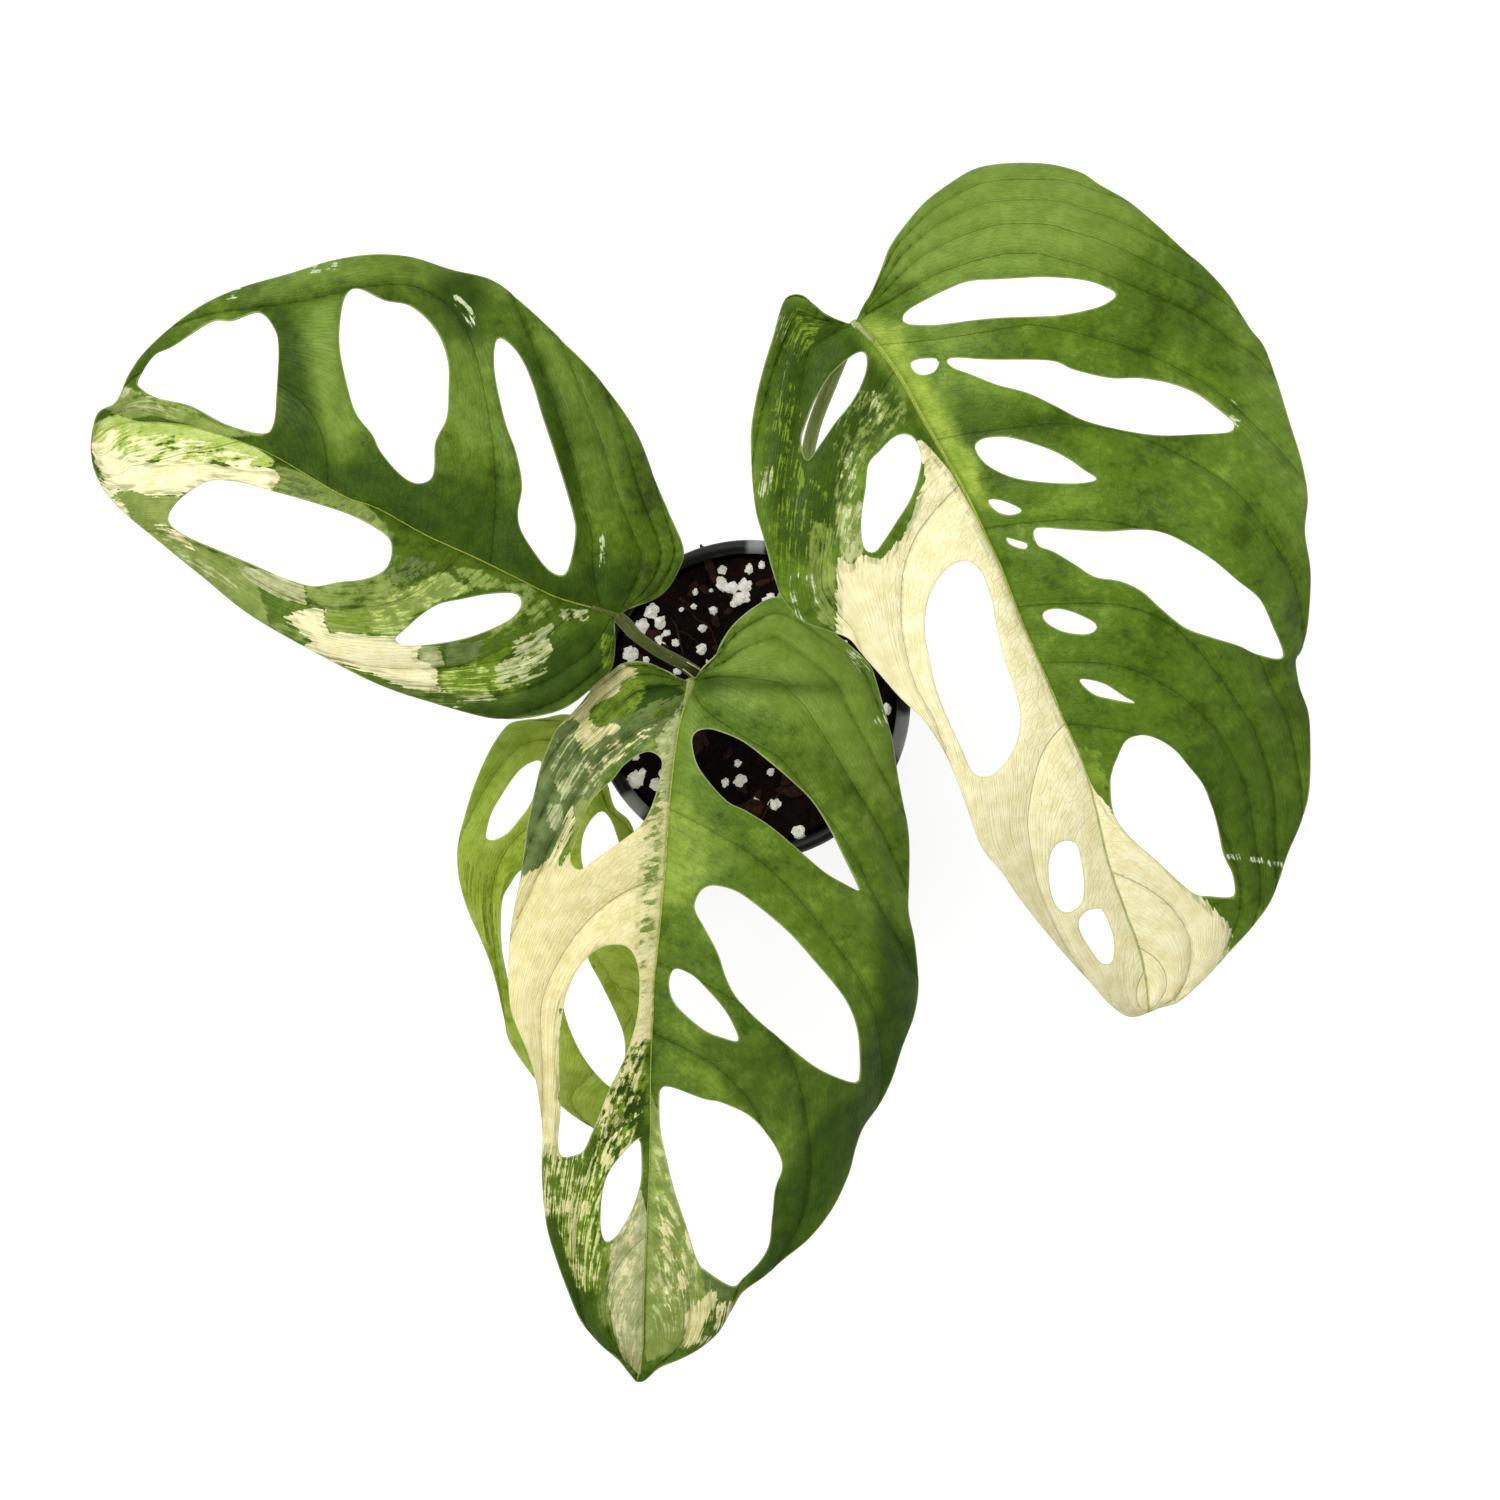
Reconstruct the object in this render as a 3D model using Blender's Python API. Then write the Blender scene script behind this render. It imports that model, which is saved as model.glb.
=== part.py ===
"""Monstera adansonii with variegated leaves, growing in a small round nursery pot.

Four perforated leaves stand on petioles that grow from one short stem, and the
stem stands in potting mix in a black plastic pot. Metres, +Z up, the plant's
back towards +Y. The origin is the middle of the pot's underside.
"""
import math
import random
from dataclasses import dataclass

import bmesh
import bpy
import numpy as np
from mathutils import Vector
from mathutils.geometry import delaunay_2d_cdt

# Clearance between pieces that touch on the real plant
GAP = 0.0003

# Pot: a round nursery pot 65 mm across its rim
POT_HEIGHT = 0.058
POT_RIM_RADIUS = 0.0325
POT_BEAD_RADIUS = 0.0014
POT_BEAD_START = -80
POT_BEAD_SWEEP = 260
POT_BEAD_STEPS = 8
POT_COLLAR_RADIUS = 0.0312
POT_COLLAR_HEIGHT = 0.009
POT_COLLAR_STEP = 0.0012
POT_COLLAR_BEVEL = 0.0006
POT_BASE_RADIUS = 0.0235
POT_WALL = 0.0012
POT_FLOOR = 0.0015
POT_FOOT_BEVEL = 0.0012
POT_SEGMENTS = 48
DRAIN_COUNT = 6
DRAIN_RADIUS = 0.003
DRAIN_CIRCLE = 0.0185
DRAIN_TURN = 0.31
DRAIN_SIDES = 12

# Potting mix, filled to a few millimetres under the rim
SOIL_TOP = 0.0535
SOIL_CROWN = 0.0014
SOIL_LUMPS = 46
SOIL_LUMP_HEIGHT = 0.0014
SOIL_LUMP_RADIUS = 0.0026
SOIL_LUMP_SIZES = (0.5, 1.0)
SOIL_LUMP_TURN = 137.5
SOIL_LUMP_MARGIN = 0.006
SOIL_RINGS = 13
SOIL_SEGMENTS = 40
SOIL_SHOULDER_DROP = 0.0012
SOIL_SEED = 7

# Stem, with a swelling at each node a petiole leaves from
STEM_RADIUS = 0.0023
STEM_NODES = (0.060, 0.067, 0.074, 0.082)
STEM_NODE_SWELL = 0.0005
STEM_NODE_SPREAD = 0.0016
STEM_TOP_SHARES = (0.88, 0.55)
STEM_STEP = 0.0016
STEM_SIDES = 14

# Leaf blades, whose midribs stand out under them from a little past the petiole
BLADE_THICKNESS = 0.0007
RIB_DEPTH = 0.0009
RIB_HALF_WIDTH = 0.0013
RIB_START = 0.11
RIB_BEGIN = 0.05
RIB_TAPER = 0.7
CREASE_SOFTNESS = 0.0012

# The waves of a blade grow with the distance from its midrib
WAVE_REACH = 0.03
WAVE_LIMIT = 1.5
WAVE_SHIFT = 1.3

# How finely a blade is split into triangles, and how far apart its points keep
EDGE_STEP = 0.0050
INNER_STEP = 0.0050
STEP_SLACK = 0.25
EDGE_CLEARANCE = 0.55 * INNER_STEP
ROW_CLEARANCE = 0.7 * INNER_STEP
MERGE_DISTANCE = 1e-7
SLOPE_REACH = 0.0004

# Petioles, each with a tail that runs under the midrib and carries the blade
PETIOLE_SIDES = 9
PETIOLE_STEP = 0.0035
PETIOLE_FOOT_LENGTH = 0.012
TAIL_LENGTH = 0.006
TAIL_RADIUS = 0.0008
TAIL_START = 0.0008
TAIL_STEP = 0.0005
TAIL_GAP = 1.4 * GAP

# The plan sheet: outlines are drawn from above in sheet units of 0.2 mm, with
# x to the right and y to the front, and the pot's axis at SHEET_AXIS.
SHEET_UNIT = 0.0002
SHEET_AXIS = (750, 700)
MM = 0.001


@dataclass
class Leaf:
    """A blade drawn on the plan sheet, with the figures that shape its surface."""
    name: str
    outline: list
    holes: list
    midrib: list
    ridge: tuple
    slope: float
    sag: float
    roll: float
    wave: float
    wave_count: float


LEFT_LEAF = Leaf(
    name="leaf_left",
    outline=[
        (618, 615), (660, 595), (678, 570), (683, 548), (668, 510), (655, 480), (635, 430), (600, 380),
        (560, 338), (520, 300), (490, 278), (450, 268), (410, 256), (370, 254), (330, 260), (290, 272),
        (235, 288), (190, 310), (150, 343), (128, 370), (114, 400), (95, 412), (88, 440), (92, 470),
        (110, 500), (150, 535), (200, 575), (250, 615), (320, 655), (380, 685), (450, 708), (505, 719),
        (560, 710), (600, 680), (612, 665), (615, 640),
    ],
    holes=[
        [(136, 379), (152, 355), (172, 345), (210, 321), (231, 320), (258, 312), (274, 329), (278, 350),
         (276, 391), (273, 423), (262, 433), (226, 424), (189, 405), (156, 397), (140, 388)],
        [(357, 288), (345, 296), (340, 321), (340, 351), (349, 393), (357, 415), (372, 434), (381, 452),
         (400, 474), (416, 483), (430, 479), (434, 466), (435, 442), (446, 418), (448, 391), (447, 359),
         (435, 329), (411, 306), (384, 300)],
        [(499, 337), (494, 348), (495, 376), (505, 421), (516, 452), (522, 485), (518, 511), (521, 530),
         (535, 553), (549, 570), (562, 575), (569, 565), (575, 534), (572, 511), (557, 461), (542, 416),
         (533, 386), (523, 362), (512, 346)],
        [(213, 480), (198, 485), (179, 499), (168, 514), (170, 525), (188, 537), (218, 550), (254, 565),
         (284, 578), (313, 586), (338, 582), (364, 579), (384, 570), (391, 555), (389, 539), (374, 527),
         (348, 514), (315, 503), (272, 491), (239, 482)],
        [(512, 593), (488, 594), (462, 599), (439, 604), (421, 615), (404, 630), (395, 639), (404, 645),
         (423, 645), (452, 641), (475, 635), (497, 626), (512, 617), (520, 607), (520, 598)],
    ],
    midrib=[
        (618, 615), (587, 606), (554, 596), (519, 579), (472, 556), (424, 534), (377, 508), (341, 495),
        (282, 460), (253, 446), (210, 431), (181, 424), (140, 421), (114, 424), (88, 442),
    ],
    ridge=(0.098, 0.1035, 0.105, 0.101, 0.088),
    slope=0.30, sag=0.050, roll=0.02, wave=0.0022, wave_count=2.4)

RIGHT_LEAF = Leaf(
    name="leaf_right",
    outline=[
        (853, 325), (838, 322), (825, 316), (814, 307), (803, 298), (792, 297), (783, 305), (773, 339),
        (764, 368), (756, 400), (751, 433), (752, 473), (756, 512), (763, 538), (773, 574), (781, 596),
        (792, 611), (803, 622), (827, 631), (848, 639), (861, 654), (879, 674), (896, 694), (909, 707),
        (924, 722), (939, 744), (952, 770), (968, 813), (981, 847), (1002, 873), (1018, 897), (1044, 930),
        (1066, 956), (1092, 984), (1111, 1005), (1132, 1017), (1161, 1008), (1177, 1003), (1194, 989),
        (1215, 968), (1238, 942), (1255, 923), (1269, 902), (1279, 878), (1287, 852), (1300, 821),
        (1308, 791), (1309, 744), (1307, 713), (1298, 687), (1294, 661), (1300, 650), (1306, 624),
        (1308, 574), (1302, 533), (1305, 499), (1300, 465), (1288, 424), (1275, 379), (1263, 347),
        (1249, 329), (1228, 296), (1204, 270), (1184, 253), (1156, 228), (1126, 203), (1098, 187),
        (1080, 175), (1052, 167), (1022, 165), (992, 167), (970, 173), (946, 188), (924, 205), (905, 227),
        (890, 248), (881, 270), (872, 292), (862, 309),
    ],
    holes=[
        [(902, 320), (907, 326), (935, 327), (968, 323), (1000, 320), (1054, 318), (1087, 312),
         (1104, 306), (1114, 297), (1104, 290), (1082, 283), (1043, 280), (1000, 282), (968, 284),
         (944, 293), (920, 305), (907, 313)],
        [(910, 365), (920, 361), (935, 361), (938, 365), (933, 374), (922, 377), (913, 373)],
        [(946, 363), (955, 360), (987, 362), (1048, 363), (1072, 372), (1108, 380), (1139, 380),
         (1169, 385), (1195, 395), (1217, 411), (1230, 422), (1232, 428), (1226, 434), (1195, 436),
         (1158, 437), (1121, 432), (1082, 422), (1054, 408), (1026, 395), (996, 387), (968, 376),
         (952, 370)],
        [(974, 450), (979, 442), (992, 439), (1011, 440), (1044, 450), (1065, 460), (1082, 472),
         (1094, 481), (1076, 485), (1043, 484), (1011, 479), (985, 466)],
        [(987, 502), (996, 501), (1011, 506), (1020, 512), (1011, 516), (1000, 515), (991, 509)],
        [(1005, 539), (1013, 541), (1025, 545), (1024, 550), (1014, 548), (1007, 544)],
        [(1034, 530), (1065, 531), (1104, 533), (1139, 531), (1163, 535), (1186, 546), (1210, 561),
         (1234, 581), (1256, 599), (1269, 624), (1281, 657), (1256, 655), (1236, 646), (1206, 637),
         (1182, 628), (1158, 609), (1139, 592), (1117, 582), (1093, 578), (1072, 565), (1052, 553),
         (1036, 546)],
        [(1041, 616), (1046, 611), (1059, 610), (1076, 615), (1093, 624), (1093, 631), (1082, 635),
         (1061, 632), (1046, 624)],
        [(1078, 681), (1087, 680), (1104, 685), (1121, 696), (1132, 703), (1108, 699), (1091, 694)],
        [(1109, 784), (1111, 770), (1115, 759), (1124, 741), (1139, 735), (1156, 739), (1173, 750),
         (1186, 765), (1201, 784), (1210, 805), (1216, 826), (1222, 854), (1231, 873), (1234, 892),
         (1229, 897), (1210, 896), (1191, 892), (1156, 861), (1125, 833), (1112, 812)],
        [(853, 357), (864, 355), (866, 368), (861, 385), (851, 404), (835, 424), (822, 443), (807, 462),
         (801, 443), (807, 422), (816, 400), (831, 376)],
        [(903, 436), (892, 440), (879, 453), (868, 466), (865, 490), (861, 516), (861, 538), (865, 551),
         (874, 553), (883, 542), (896, 522), (909, 501), (917, 479), (920, 457), (913, 440)],
        [(963, 562), (948, 568), (935, 583), (926, 605), (924, 635), (928, 657), (935, 689), (948, 722),
         (961, 750), (970, 770), (978, 776), (991, 775), (1004, 763), (1015, 743), (1019, 717),
         (1013, 689), (1002, 657), (995, 626), (991, 603), (983, 579), (974, 566)],
        [(1066, 840), (1054, 845), (1048, 859), (1048, 878), (1052, 899), (1061, 911), (1071, 911),
         (1081, 902), (1083, 883), (1080, 861), (1076, 845)],
        [(1097, 908), (1085, 911), (1078, 920), (1080, 932), (1090, 949), (1099, 961), (1106, 964),
         (1112, 961), (1114, 944), (1110, 927), (1103, 912)],
    ],
    midrib=[
        (853, 325), (870, 340), (887, 361), (903, 385), (920, 417), (935, 443), (948, 466), (965, 496),
        (985, 538), (1000, 570), (1015, 609), (1030, 644), (1048, 685), (1065, 726), (1080, 758),
        (1092, 798), (1104, 850), (1110, 871), (1124, 909), (1139, 949), (1147, 985), (1149, 1010),
    ],
    ridge=(0.134, 0.139, 0.138, 0.128, 0.106),
    slope=0.26, sag=0.062, roll=0.03, wave=0.0028, wave_count=2.2)

FRONT_LEAF = Leaf(
    name="leaf_front",
    outline=[
        (692, 680), (703, 667), (715, 655), (722, 641), (734, 624), (754, 607), (776, 597), (803, 607),
        (831, 630), (848, 643), (863, 657), (873, 670), (882, 699), (892, 737), (899, 779), (909, 832),
        (910, 880), (909, 911), (915, 941), (919, 982), (915, 1015), (903, 1048), (893, 1080),
        (881, 1105), (864, 1129), (856, 1150), (849, 1176), (833, 1210), (810, 1240), (785, 1261),
        (764, 1279), (743, 1295), (730, 1316), (718, 1336), (700, 1352), (679, 1364), (658, 1373),
        (645, 1385), (636, 1387), (631, 1382), (617, 1364), (599, 1348), (580, 1325), (567, 1295),
        (555, 1261), (546, 1229), (542, 1192), (541, 1157), (542, 1135), (539, 1105), (534, 1076),
        (526, 1050), (517, 1029), (510, 1007), (508, 972), (510, 931), (515, 901), (521, 873), (526, 832),
        (530, 812), (535, 789), (540, 767), (548, 746), (556, 730), (571, 714), (583, 700), (595, 685),
        (609, 673), (620, 664), (636, 661), (652, 664), (669, 672), (682, 679),
    ],
    holes=[
        [(651, 752), (640, 754), (624, 765), (613, 779), (600, 791), (588, 806), (581, 824), (574, 845),
         (570, 861), (579, 870), (593, 861), (620, 842), (638, 828), (648, 814), (656, 793), (661, 771),
         (661, 759)],
        [(705, 729), (695, 733), (692, 743), (697, 764), (709, 782), (728, 802), (746, 811), (771, 827),
         (795, 847), (824, 872), (844, 884), (858, 891), (858, 886), (844, 857), (830, 829), (813, 802),
         (793, 782), (766, 759), (742, 741), (718, 731)],
        [(615, 945), (601, 948), (587, 958), (575, 974), (566, 995), (562, 1015), (559, 1044),
         (559, 1074), (560, 1113), (558, 1135), (558, 1150), (562, 1158), (573, 1157), (583, 1152),
         (591, 1135), (601, 1111), (609, 1090), (620, 1068), (628, 1050), (636, 1023), (639, 999),
         (639, 974), (634, 956), (626, 947)],
        [(711, 886), (701, 891), (695, 903), (696, 913), (705, 929), (718, 954), (726, 978), (736, 997),
         (754, 1017), (783, 1042), (813, 1066), (836, 1078), (856, 1084), (860, 1076), (860, 1054),
         (858, 1033), (852, 1013), (840, 992), (815, 962), (791, 935), (766, 913), (742, 895),
         (726, 888)],
        [(677, 969), (671, 974), (669, 986), (673, 1001), (685, 1015), (705, 1031), (722, 1038),
         (738, 1041), (732, 1023), (722, 1007), (707, 990), (693, 976)],
        [(638, 1141), (624, 1153), (610, 1171), (603, 1189), (600, 1215), (601, 1235), (606, 1244),
         (615, 1239), (624, 1226), (633, 1208), (640, 1185), (641, 1160)],
        [(671, 1088), (661, 1090), (659, 1101), (660, 1131), (665, 1156), (674, 1192), (686, 1228),
         (697, 1263), (707, 1274), (732, 1289), (743, 1281), (759, 1265), (769, 1247), (772, 1224),
         (775, 1192), (782, 1171), (779, 1155), (766, 1134), (748, 1116), (720, 1103), (704, 1100)],
    ],
    midrib=[
        (692, 680), (686, 699), (679, 725), (674, 757), (669, 803), (666, 851), (662, 901), (658, 942),
        (654, 982), (653, 1015), (651, 1044), (650, 1084), (650, 1125), (649, 1166), (647, 1215),
        (645, 1261), (643, 1307), (642, 1352), (636, 1387),
    ],
    ridge=(0.093, 0.098, 0.097, 0.088, 0.070),
    slope=0.30, sag=0.045, roll=0.0, wave=0.0022, wave_count=2.6)

LOW_LEAF = Leaf(
    name="leaf_low",
    outline=[
        (575, 757), (594, 764), (606, 785), (613, 808), (628, 822), (636, 845), (641, 880), (650, 920),
        (656, 960), (658, 1000), (656, 1050), (650, 1090), (640, 1122), (624, 1146), (608, 1142),
        (591, 1134), (573, 1123), (560, 1113), (543, 1098), (528, 1078), (515, 1060), (505, 1042),
        (501, 1023), (494, 990), (487, 966), (477, 940), (466, 915), (459, 893), (455, 871), (455, 845),
        (462, 816), (471, 787), (483, 759), (495, 738), (507, 724), (522, 720), (542, 718), (562, 714),
        (580, 717), (588, 730), (585, 745),
    ],
    holes=[
        [(539, 762), (528, 763), (515, 773), (501, 793), (489, 814), (484, 832), (484, 839), (491, 841),
         (505, 834), (517, 820), (526, 808), (537, 784)],
        [(520, 871), (507, 887), (500, 901), (498, 927), (499, 952), (503, 974), (507, 993), (511, 1021),
         (528, 1012), (537, 985), (544, 945), (546, 905), (538, 880)],
        [(580, 950), (589, 968), (601, 990), (615, 1020), (622, 1040), (623, 1062), (617, 1084),
         (609, 1092), (591, 1075), (575, 1050), (562, 1015), (560, 985), (566, 960)],
        [(600, 812), (590, 820), (581, 838), (580, 862), (588, 884), (602, 896), (617, 888), (622, 866),
         (617, 842), (609, 820)],
    ],
    midrib=[
        (575, 757), (567, 800), (564, 850), (570, 905), (586, 945), (612, 985), (632, 1020),
        (640, 1060), (638, 1105), (624, 1146),
    ],
    ridge=(0.0620, 0.0570, 0.0500, 0.0400, 0.0300),
    slope=0.22, sag=0.045, roll=0.0, wave=0.0012, wave_count=2.0)


@dataclass
class Petiole:
    """A leaf stalk: its node on the stem, its way on the sheet (heights in mm) and its radii."""
    name: str
    leaf: Leaf
    way: list
    foot_radius: float
    neck_radius: float


# The stem's axis on the sheet, with heights in mm
STEM_WAY = [(716, 694, 43.8), (717, 695, 56), (714, 692, 68), (716, 692, 78), (717, 691, 86.5)]

PETIOLES = [
    Petiole("petiole_left", LEFT_LEAF,
            [(716, 692, 77), (706, 683, 80.5), (697, 674, 84.5), (681, 663, 89.5), (657, 650, 93.7),
             (637, 636, 95.8), (624, 622, 95.9)],
            0.0019, 0.0011),
    Petiole("petiole_right", RIGHT_LEAF,
            [(716, 692, 73), (726, 680, 75.5), (742, 654, 79), (766, 624, 82), (783, 600, 85.5),
             (794, 568, 93), (799, 530, 103), (803, 484, 113.5), (813, 430, 122.5), (830, 385, 128.5),
             (846, 347, 131.8)],
            0.0021, 0.0014),
    Petiole("petiole_front", FRONT_LEAF,
            [(715, 693, 65), (709, 706, 68.5), (700, 718, 75), (693, 718, 82), (690, 708, 87.5)],
            0.0018, 0.0014),
    Petiole("petiole_low", LOW_LEAF,
            [(715, 693, 59), (700, 699, 60.2), (670, 712, 62.5), (635, 728, 63.2), (603, 742, 62),
             (585, 751, 60.6)],
            0.0016, 0.0011),
]

# The sheath that wraps the growing tip, on the sheet with heights in mm
SHEATH_WAY = [(717, 690, 85.6), (716, 680, 87.6), (712, 669, 89.0), (706, 659, 90.0)]
SHEATH_FOOT_RADIUS = 0.0012
SHEATH_TIP_RADIUS = 0.0003
SHEATH_TAPER = 1.5
SHEATH_STEP = 0.0016


def remove_everything():
    """Start from an empty scene."""
    for item in list(bpy.data.objects):
        bpy.data.objects.remove(item, do_unlink=True)


def material(name, color, roughness, metallic=0.0):
    """A Principled material of one colour."""
    made = bpy.data.materials.new(name)
    made.use_nodes = True
    shader = made.node_tree.nodes["Principled BSDF"]
    shader.inputs["Base Color"].default_value = (*color, 1.0)
    shader.inputs["Roughness"].default_value = roughness
    shader.inputs["Metallic"].default_value = metallic
    return made


def finish_object(bm, name, look, sharp_degrees=40):
    """Turn a bmesh into a named, smoothly shaded object."""
    bmesh.ops.recalc_face_normals(bm, faces=bm.faces[:])
    mesh = bpy.data.meshes.new(name)
    bm.to_mesh(mesh)
    bm.free()
    mesh.materials.append(look)
    mesh.shade_smooth()
    mesh.set_sharp_from_angle(angle=math.radians(sharp_degrees))
    made = bpy.data.objects.new(name, mesh)
    bpy.context.scene.collection.objects.link(made)
    return made


def make_cutter(cutter):
    """Mark a helper object that only cuts."""
    cutter.hide_render = True
    cutter.display_type = "WIRE"


def cut_with(target, cutter):
    """Take the cutter's volume out of the target."""
    boolean = target.modifiers.new("cut_" + cutter.name, "BOOLEAN")
    boolean.operation = "DIFFERENCE"
    boolean.object = cutter
    boolean.solver = "EXACT"


def from_sheet(points):
    """Sheet points, with heights in mm where they have them, in metres."""
    placed = np.array(points, dtype=float)
    placed[:, 0] = (placed[:, 0] - SHEET_AXIS[0]) * SHEET_UNIT
    placed[:, 1] = (SHEET_AXIS[1] - placed[:, 1]) * SHEET_UNIT
    placed[:, 2:] *= MM
    return placed


def smooth_curve(points, step, closed=False):
    """A Catmull-Rom curve through the points, with a point every step or less."""
    count = len(points)
    padded = np.vstack([points[-1:], points, points[:2]]) if closed else np.vstack(
        [2 * points[:1] - points[1:2], points, 2 * points[-1:] - points[-2:-1]])
    spans = count if closed else count - 1
    made = []
    for span in range(spans):
        a, b, c, d = padded[span:span + 4]
        pieces = max(1, math.ceil(np.linalg.norm(c - b) / step - STEP_SLACK))
        for piece in range(pieces):
            t = piece / pieces
            made.append(0.5 * (2 * b + (c - a) * t + (2 * a - 5 * b + 4 * c - d) * t ** 2
                               + (3 * b - a - 3 * c + d) * t ** 3))
    if not closed:
        made.append(points[-1])
    return np.array(made)


def smooth_steps(values, t):
    """Evenly spaced values read at t from 0 to 1 along a smooth curve, straight outside it."""
    values = np.array(values)
    last = len(values) - 1
    padded = np.concatenate([[2 * values[0] - values[1]], values, [2 * values[-1] - values[-2]]])
    inside = np.clip(t, 0.0, 1.0) * last
    span = np.minimum(inside.astype(int), last - 1)
    u = inside - span
    a, b, c, d = padded[span], padded[span + 1], padded[span + 2], padded[span + 3]
    read = 0.5 * (2 * b + (c - a) * u + (2 * a - 5 * b + 4 * c - d) * u ** 2
                  + (3 * b - a - 3 * c + d) * u ** 3)
    start_slope = (values[1] - values[0]) * last
    end_slope = (values[-1] - values[-2]) * last
    return read + np.minimum(t, 0.0) * start_slope + np.maximum(t - 1.0, 0.0) * end_slope


def midrib_frame(leaf, xy):
    """Distance from the midrib, side of it, and place along the leaf from base to tip."""
    rib = smooth_curve(from_sheet(leaf.midrib), EDGE_STEP)
    start = rib[:-1]
    run = rib[1:] - start
    offset = xy[:, None, :] - start[None]
    along = np.clip((offset * run).sum(2) / (run ** 2).sum(1), 0.0, 1.0)
    away = np.linalg.norm(offset - along[..., None] * run, axis=2)
    nearest = away.argmin(axis=1)
    rows = np.arange(len(xy))
    near_run = run[nearest]
    near_offset = offset[rows, nearest]
    side = np.sign(near_run[:, 0] * near_offset[:, 1] - near_run[:, 1] * near_offset[:, 0])
    axis = rib[-1] - rib[0]
    place = ((xy - rib[0]) @ axis) / (axis @ axis)
    return away[rows, nearest], side, place


def blade_height(leaf, xy):
    """Height of the blade's middle surface at points in plan."""
    away, side, place = midrib_frame(leaf, xy)
    soft = np.sqrt(away ** 2 + CREASE_SOFTNESS ** 2) - CREASE_SOFTNESS
    height = smooth_steps(leaf.ridge, place)
    height += leaf.slope * soft - soft ** 2 / (2 * leaf.sag)
    height += leaf.roll * side * soft
    reach = np.minimum(away / WAVE_REACH, WAVE_LIMIT) ** 2
    turns = 2 * math.pi * leaf.wave_count * place
    return height + leaf.wave * reach * np.sin(turns + WAVE_SHIFT * side)


def blade_normals(leaf, xy):
    """Unit normals of the middle surface, facing up."""
    east, north = (SLOPE_REACH, 0), (0, SLOPE_REACH)
    east_rise = blade_height(leaf, xy + east) - blade_height(leaf, xy - east)
    north_rise = blade_height(leaf, xy + north) - blade_height(leaf, xy - north)
    normals = np.column_stack([-east_rise, -north_rise, np.full(len(xy), 2 * SLOPE_REACH)])
    return normals / np.linalg.norm(normals, axis=1)[:, None]


def inside_loop(loop, xy):
    """Whether each point lies inside a closed loop."""
    x, y = xy[:, 0:1], xy[:, 1:2]
    x0, y0 = loop[:, 0], loop[:, 1]
    x1, y1 = np.roll(x0, -1), np.roll(y0, -1)
    spans = (y0 > y) != (y1 > y)
    rise = np.where(y1 == y0, 1.0, y1 - y0)
    return (spans & (x < (x1 - x0) * (y - y0) / rise + x0)).sum(axis=1) % 2 == 1


def on_blade(loops, xy):
    """Whether each point lies inside the outline and outside every hole."""
    keep = inside_loop(loops[0], xy)
    for hole in loops[1:]:
        keep &= ~inside_loop(hole, xy)
    return keep


def clear_of(points, others, distance):
    """The points that keep a distance from the others."""
    gaps = np.linalg.norm(points[:, None] - others[None], axis=2).min(axis=1)
    return points[gaps > distance]


def inner_points(leaf, loops):
    """Points inside a blade: rows along the midrib, then an even field of triangles."""
    edge = np.vstack(loops)
    rib = smooth_curve(from_sheet(leaf.midrib), INNER_STEP)[1:-1]
    run = np.gradient(rib, axis=0)
    across = np.column_stack([-run[:, 1], run[:, 0]]) / np.linalg.norm(run, axis=1)[:, None]
    rows = np.vstack([rib, rib + across * RIB_HALF_WIDTH, rib - across * RIB_HALF_WIDTH])
    rows = clear_of(rows[on_blade(loops, rows)], edge, RIB_HALF_WIDTH)
    low, high = edge.min(axis=0), edge.max(axis=0)
    row_height = INNER_STEP * math.sqrt(3) / 2
    field = []
    for number, y in enumerate(np.arange(low[1], high[1], row_height)):
        shift = INNER_STEP / 2 * (number % 2)
        field += [(x, y) for x in np.arange(low[0] + shift, high[0], INNER_STEP)]
    field = np.array(field)
    field = clear_of(field[on_blade(loops, field)], edge, EDGE_CLEARANCE)
    field = clear_of(field, rows, ROW_CLEARANCE)
    return np.vstack([rows, field])


def blade_plan(leaf):
    """The blade split into triangles in plan: points and triangles."""
    loops = [smooth_curve(from_sheet(loop), EDGE_STEP, closed=True)
             for loop in [leaf.outline] + leaf.holes]
    points = np.vstack(loops + [inner_points(leaf, loops)])
    edges = []
    first = 0
    for loop in loops:
        count = len(loop)
        edges += [(first + k, first + (k + 1) % count) for k in range(count)]
        first += count
    found = delaunay_2d_cdt([Vector(p) for p in points], edges, [], 0, MERGE_DISTANCE)
    xy = np.array([tuple(v) for v in found[0]])
    triangles = np.array(found[2])
    return xy, triangles[on_blade(loops, xy[triangles].mean(axis=1))]


def rib_depths(leaf, xy):
    """How far the midrib stands out under the blade at each point."""
    away, _, place = midrib_frame(leaf, xy)
    begin = np.clip((place - RIB_START) / RIB_BEGIN, 0.0, 1.0)
    taper = begin * (1.0 - RIB_TAPER * np.clip(place, 0.0, 1.0))
    return RIB_DEPTH * taper * np.clip(1.0 - away / RIB_HALF_WIDTH, 0.0, 1.0)


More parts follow.
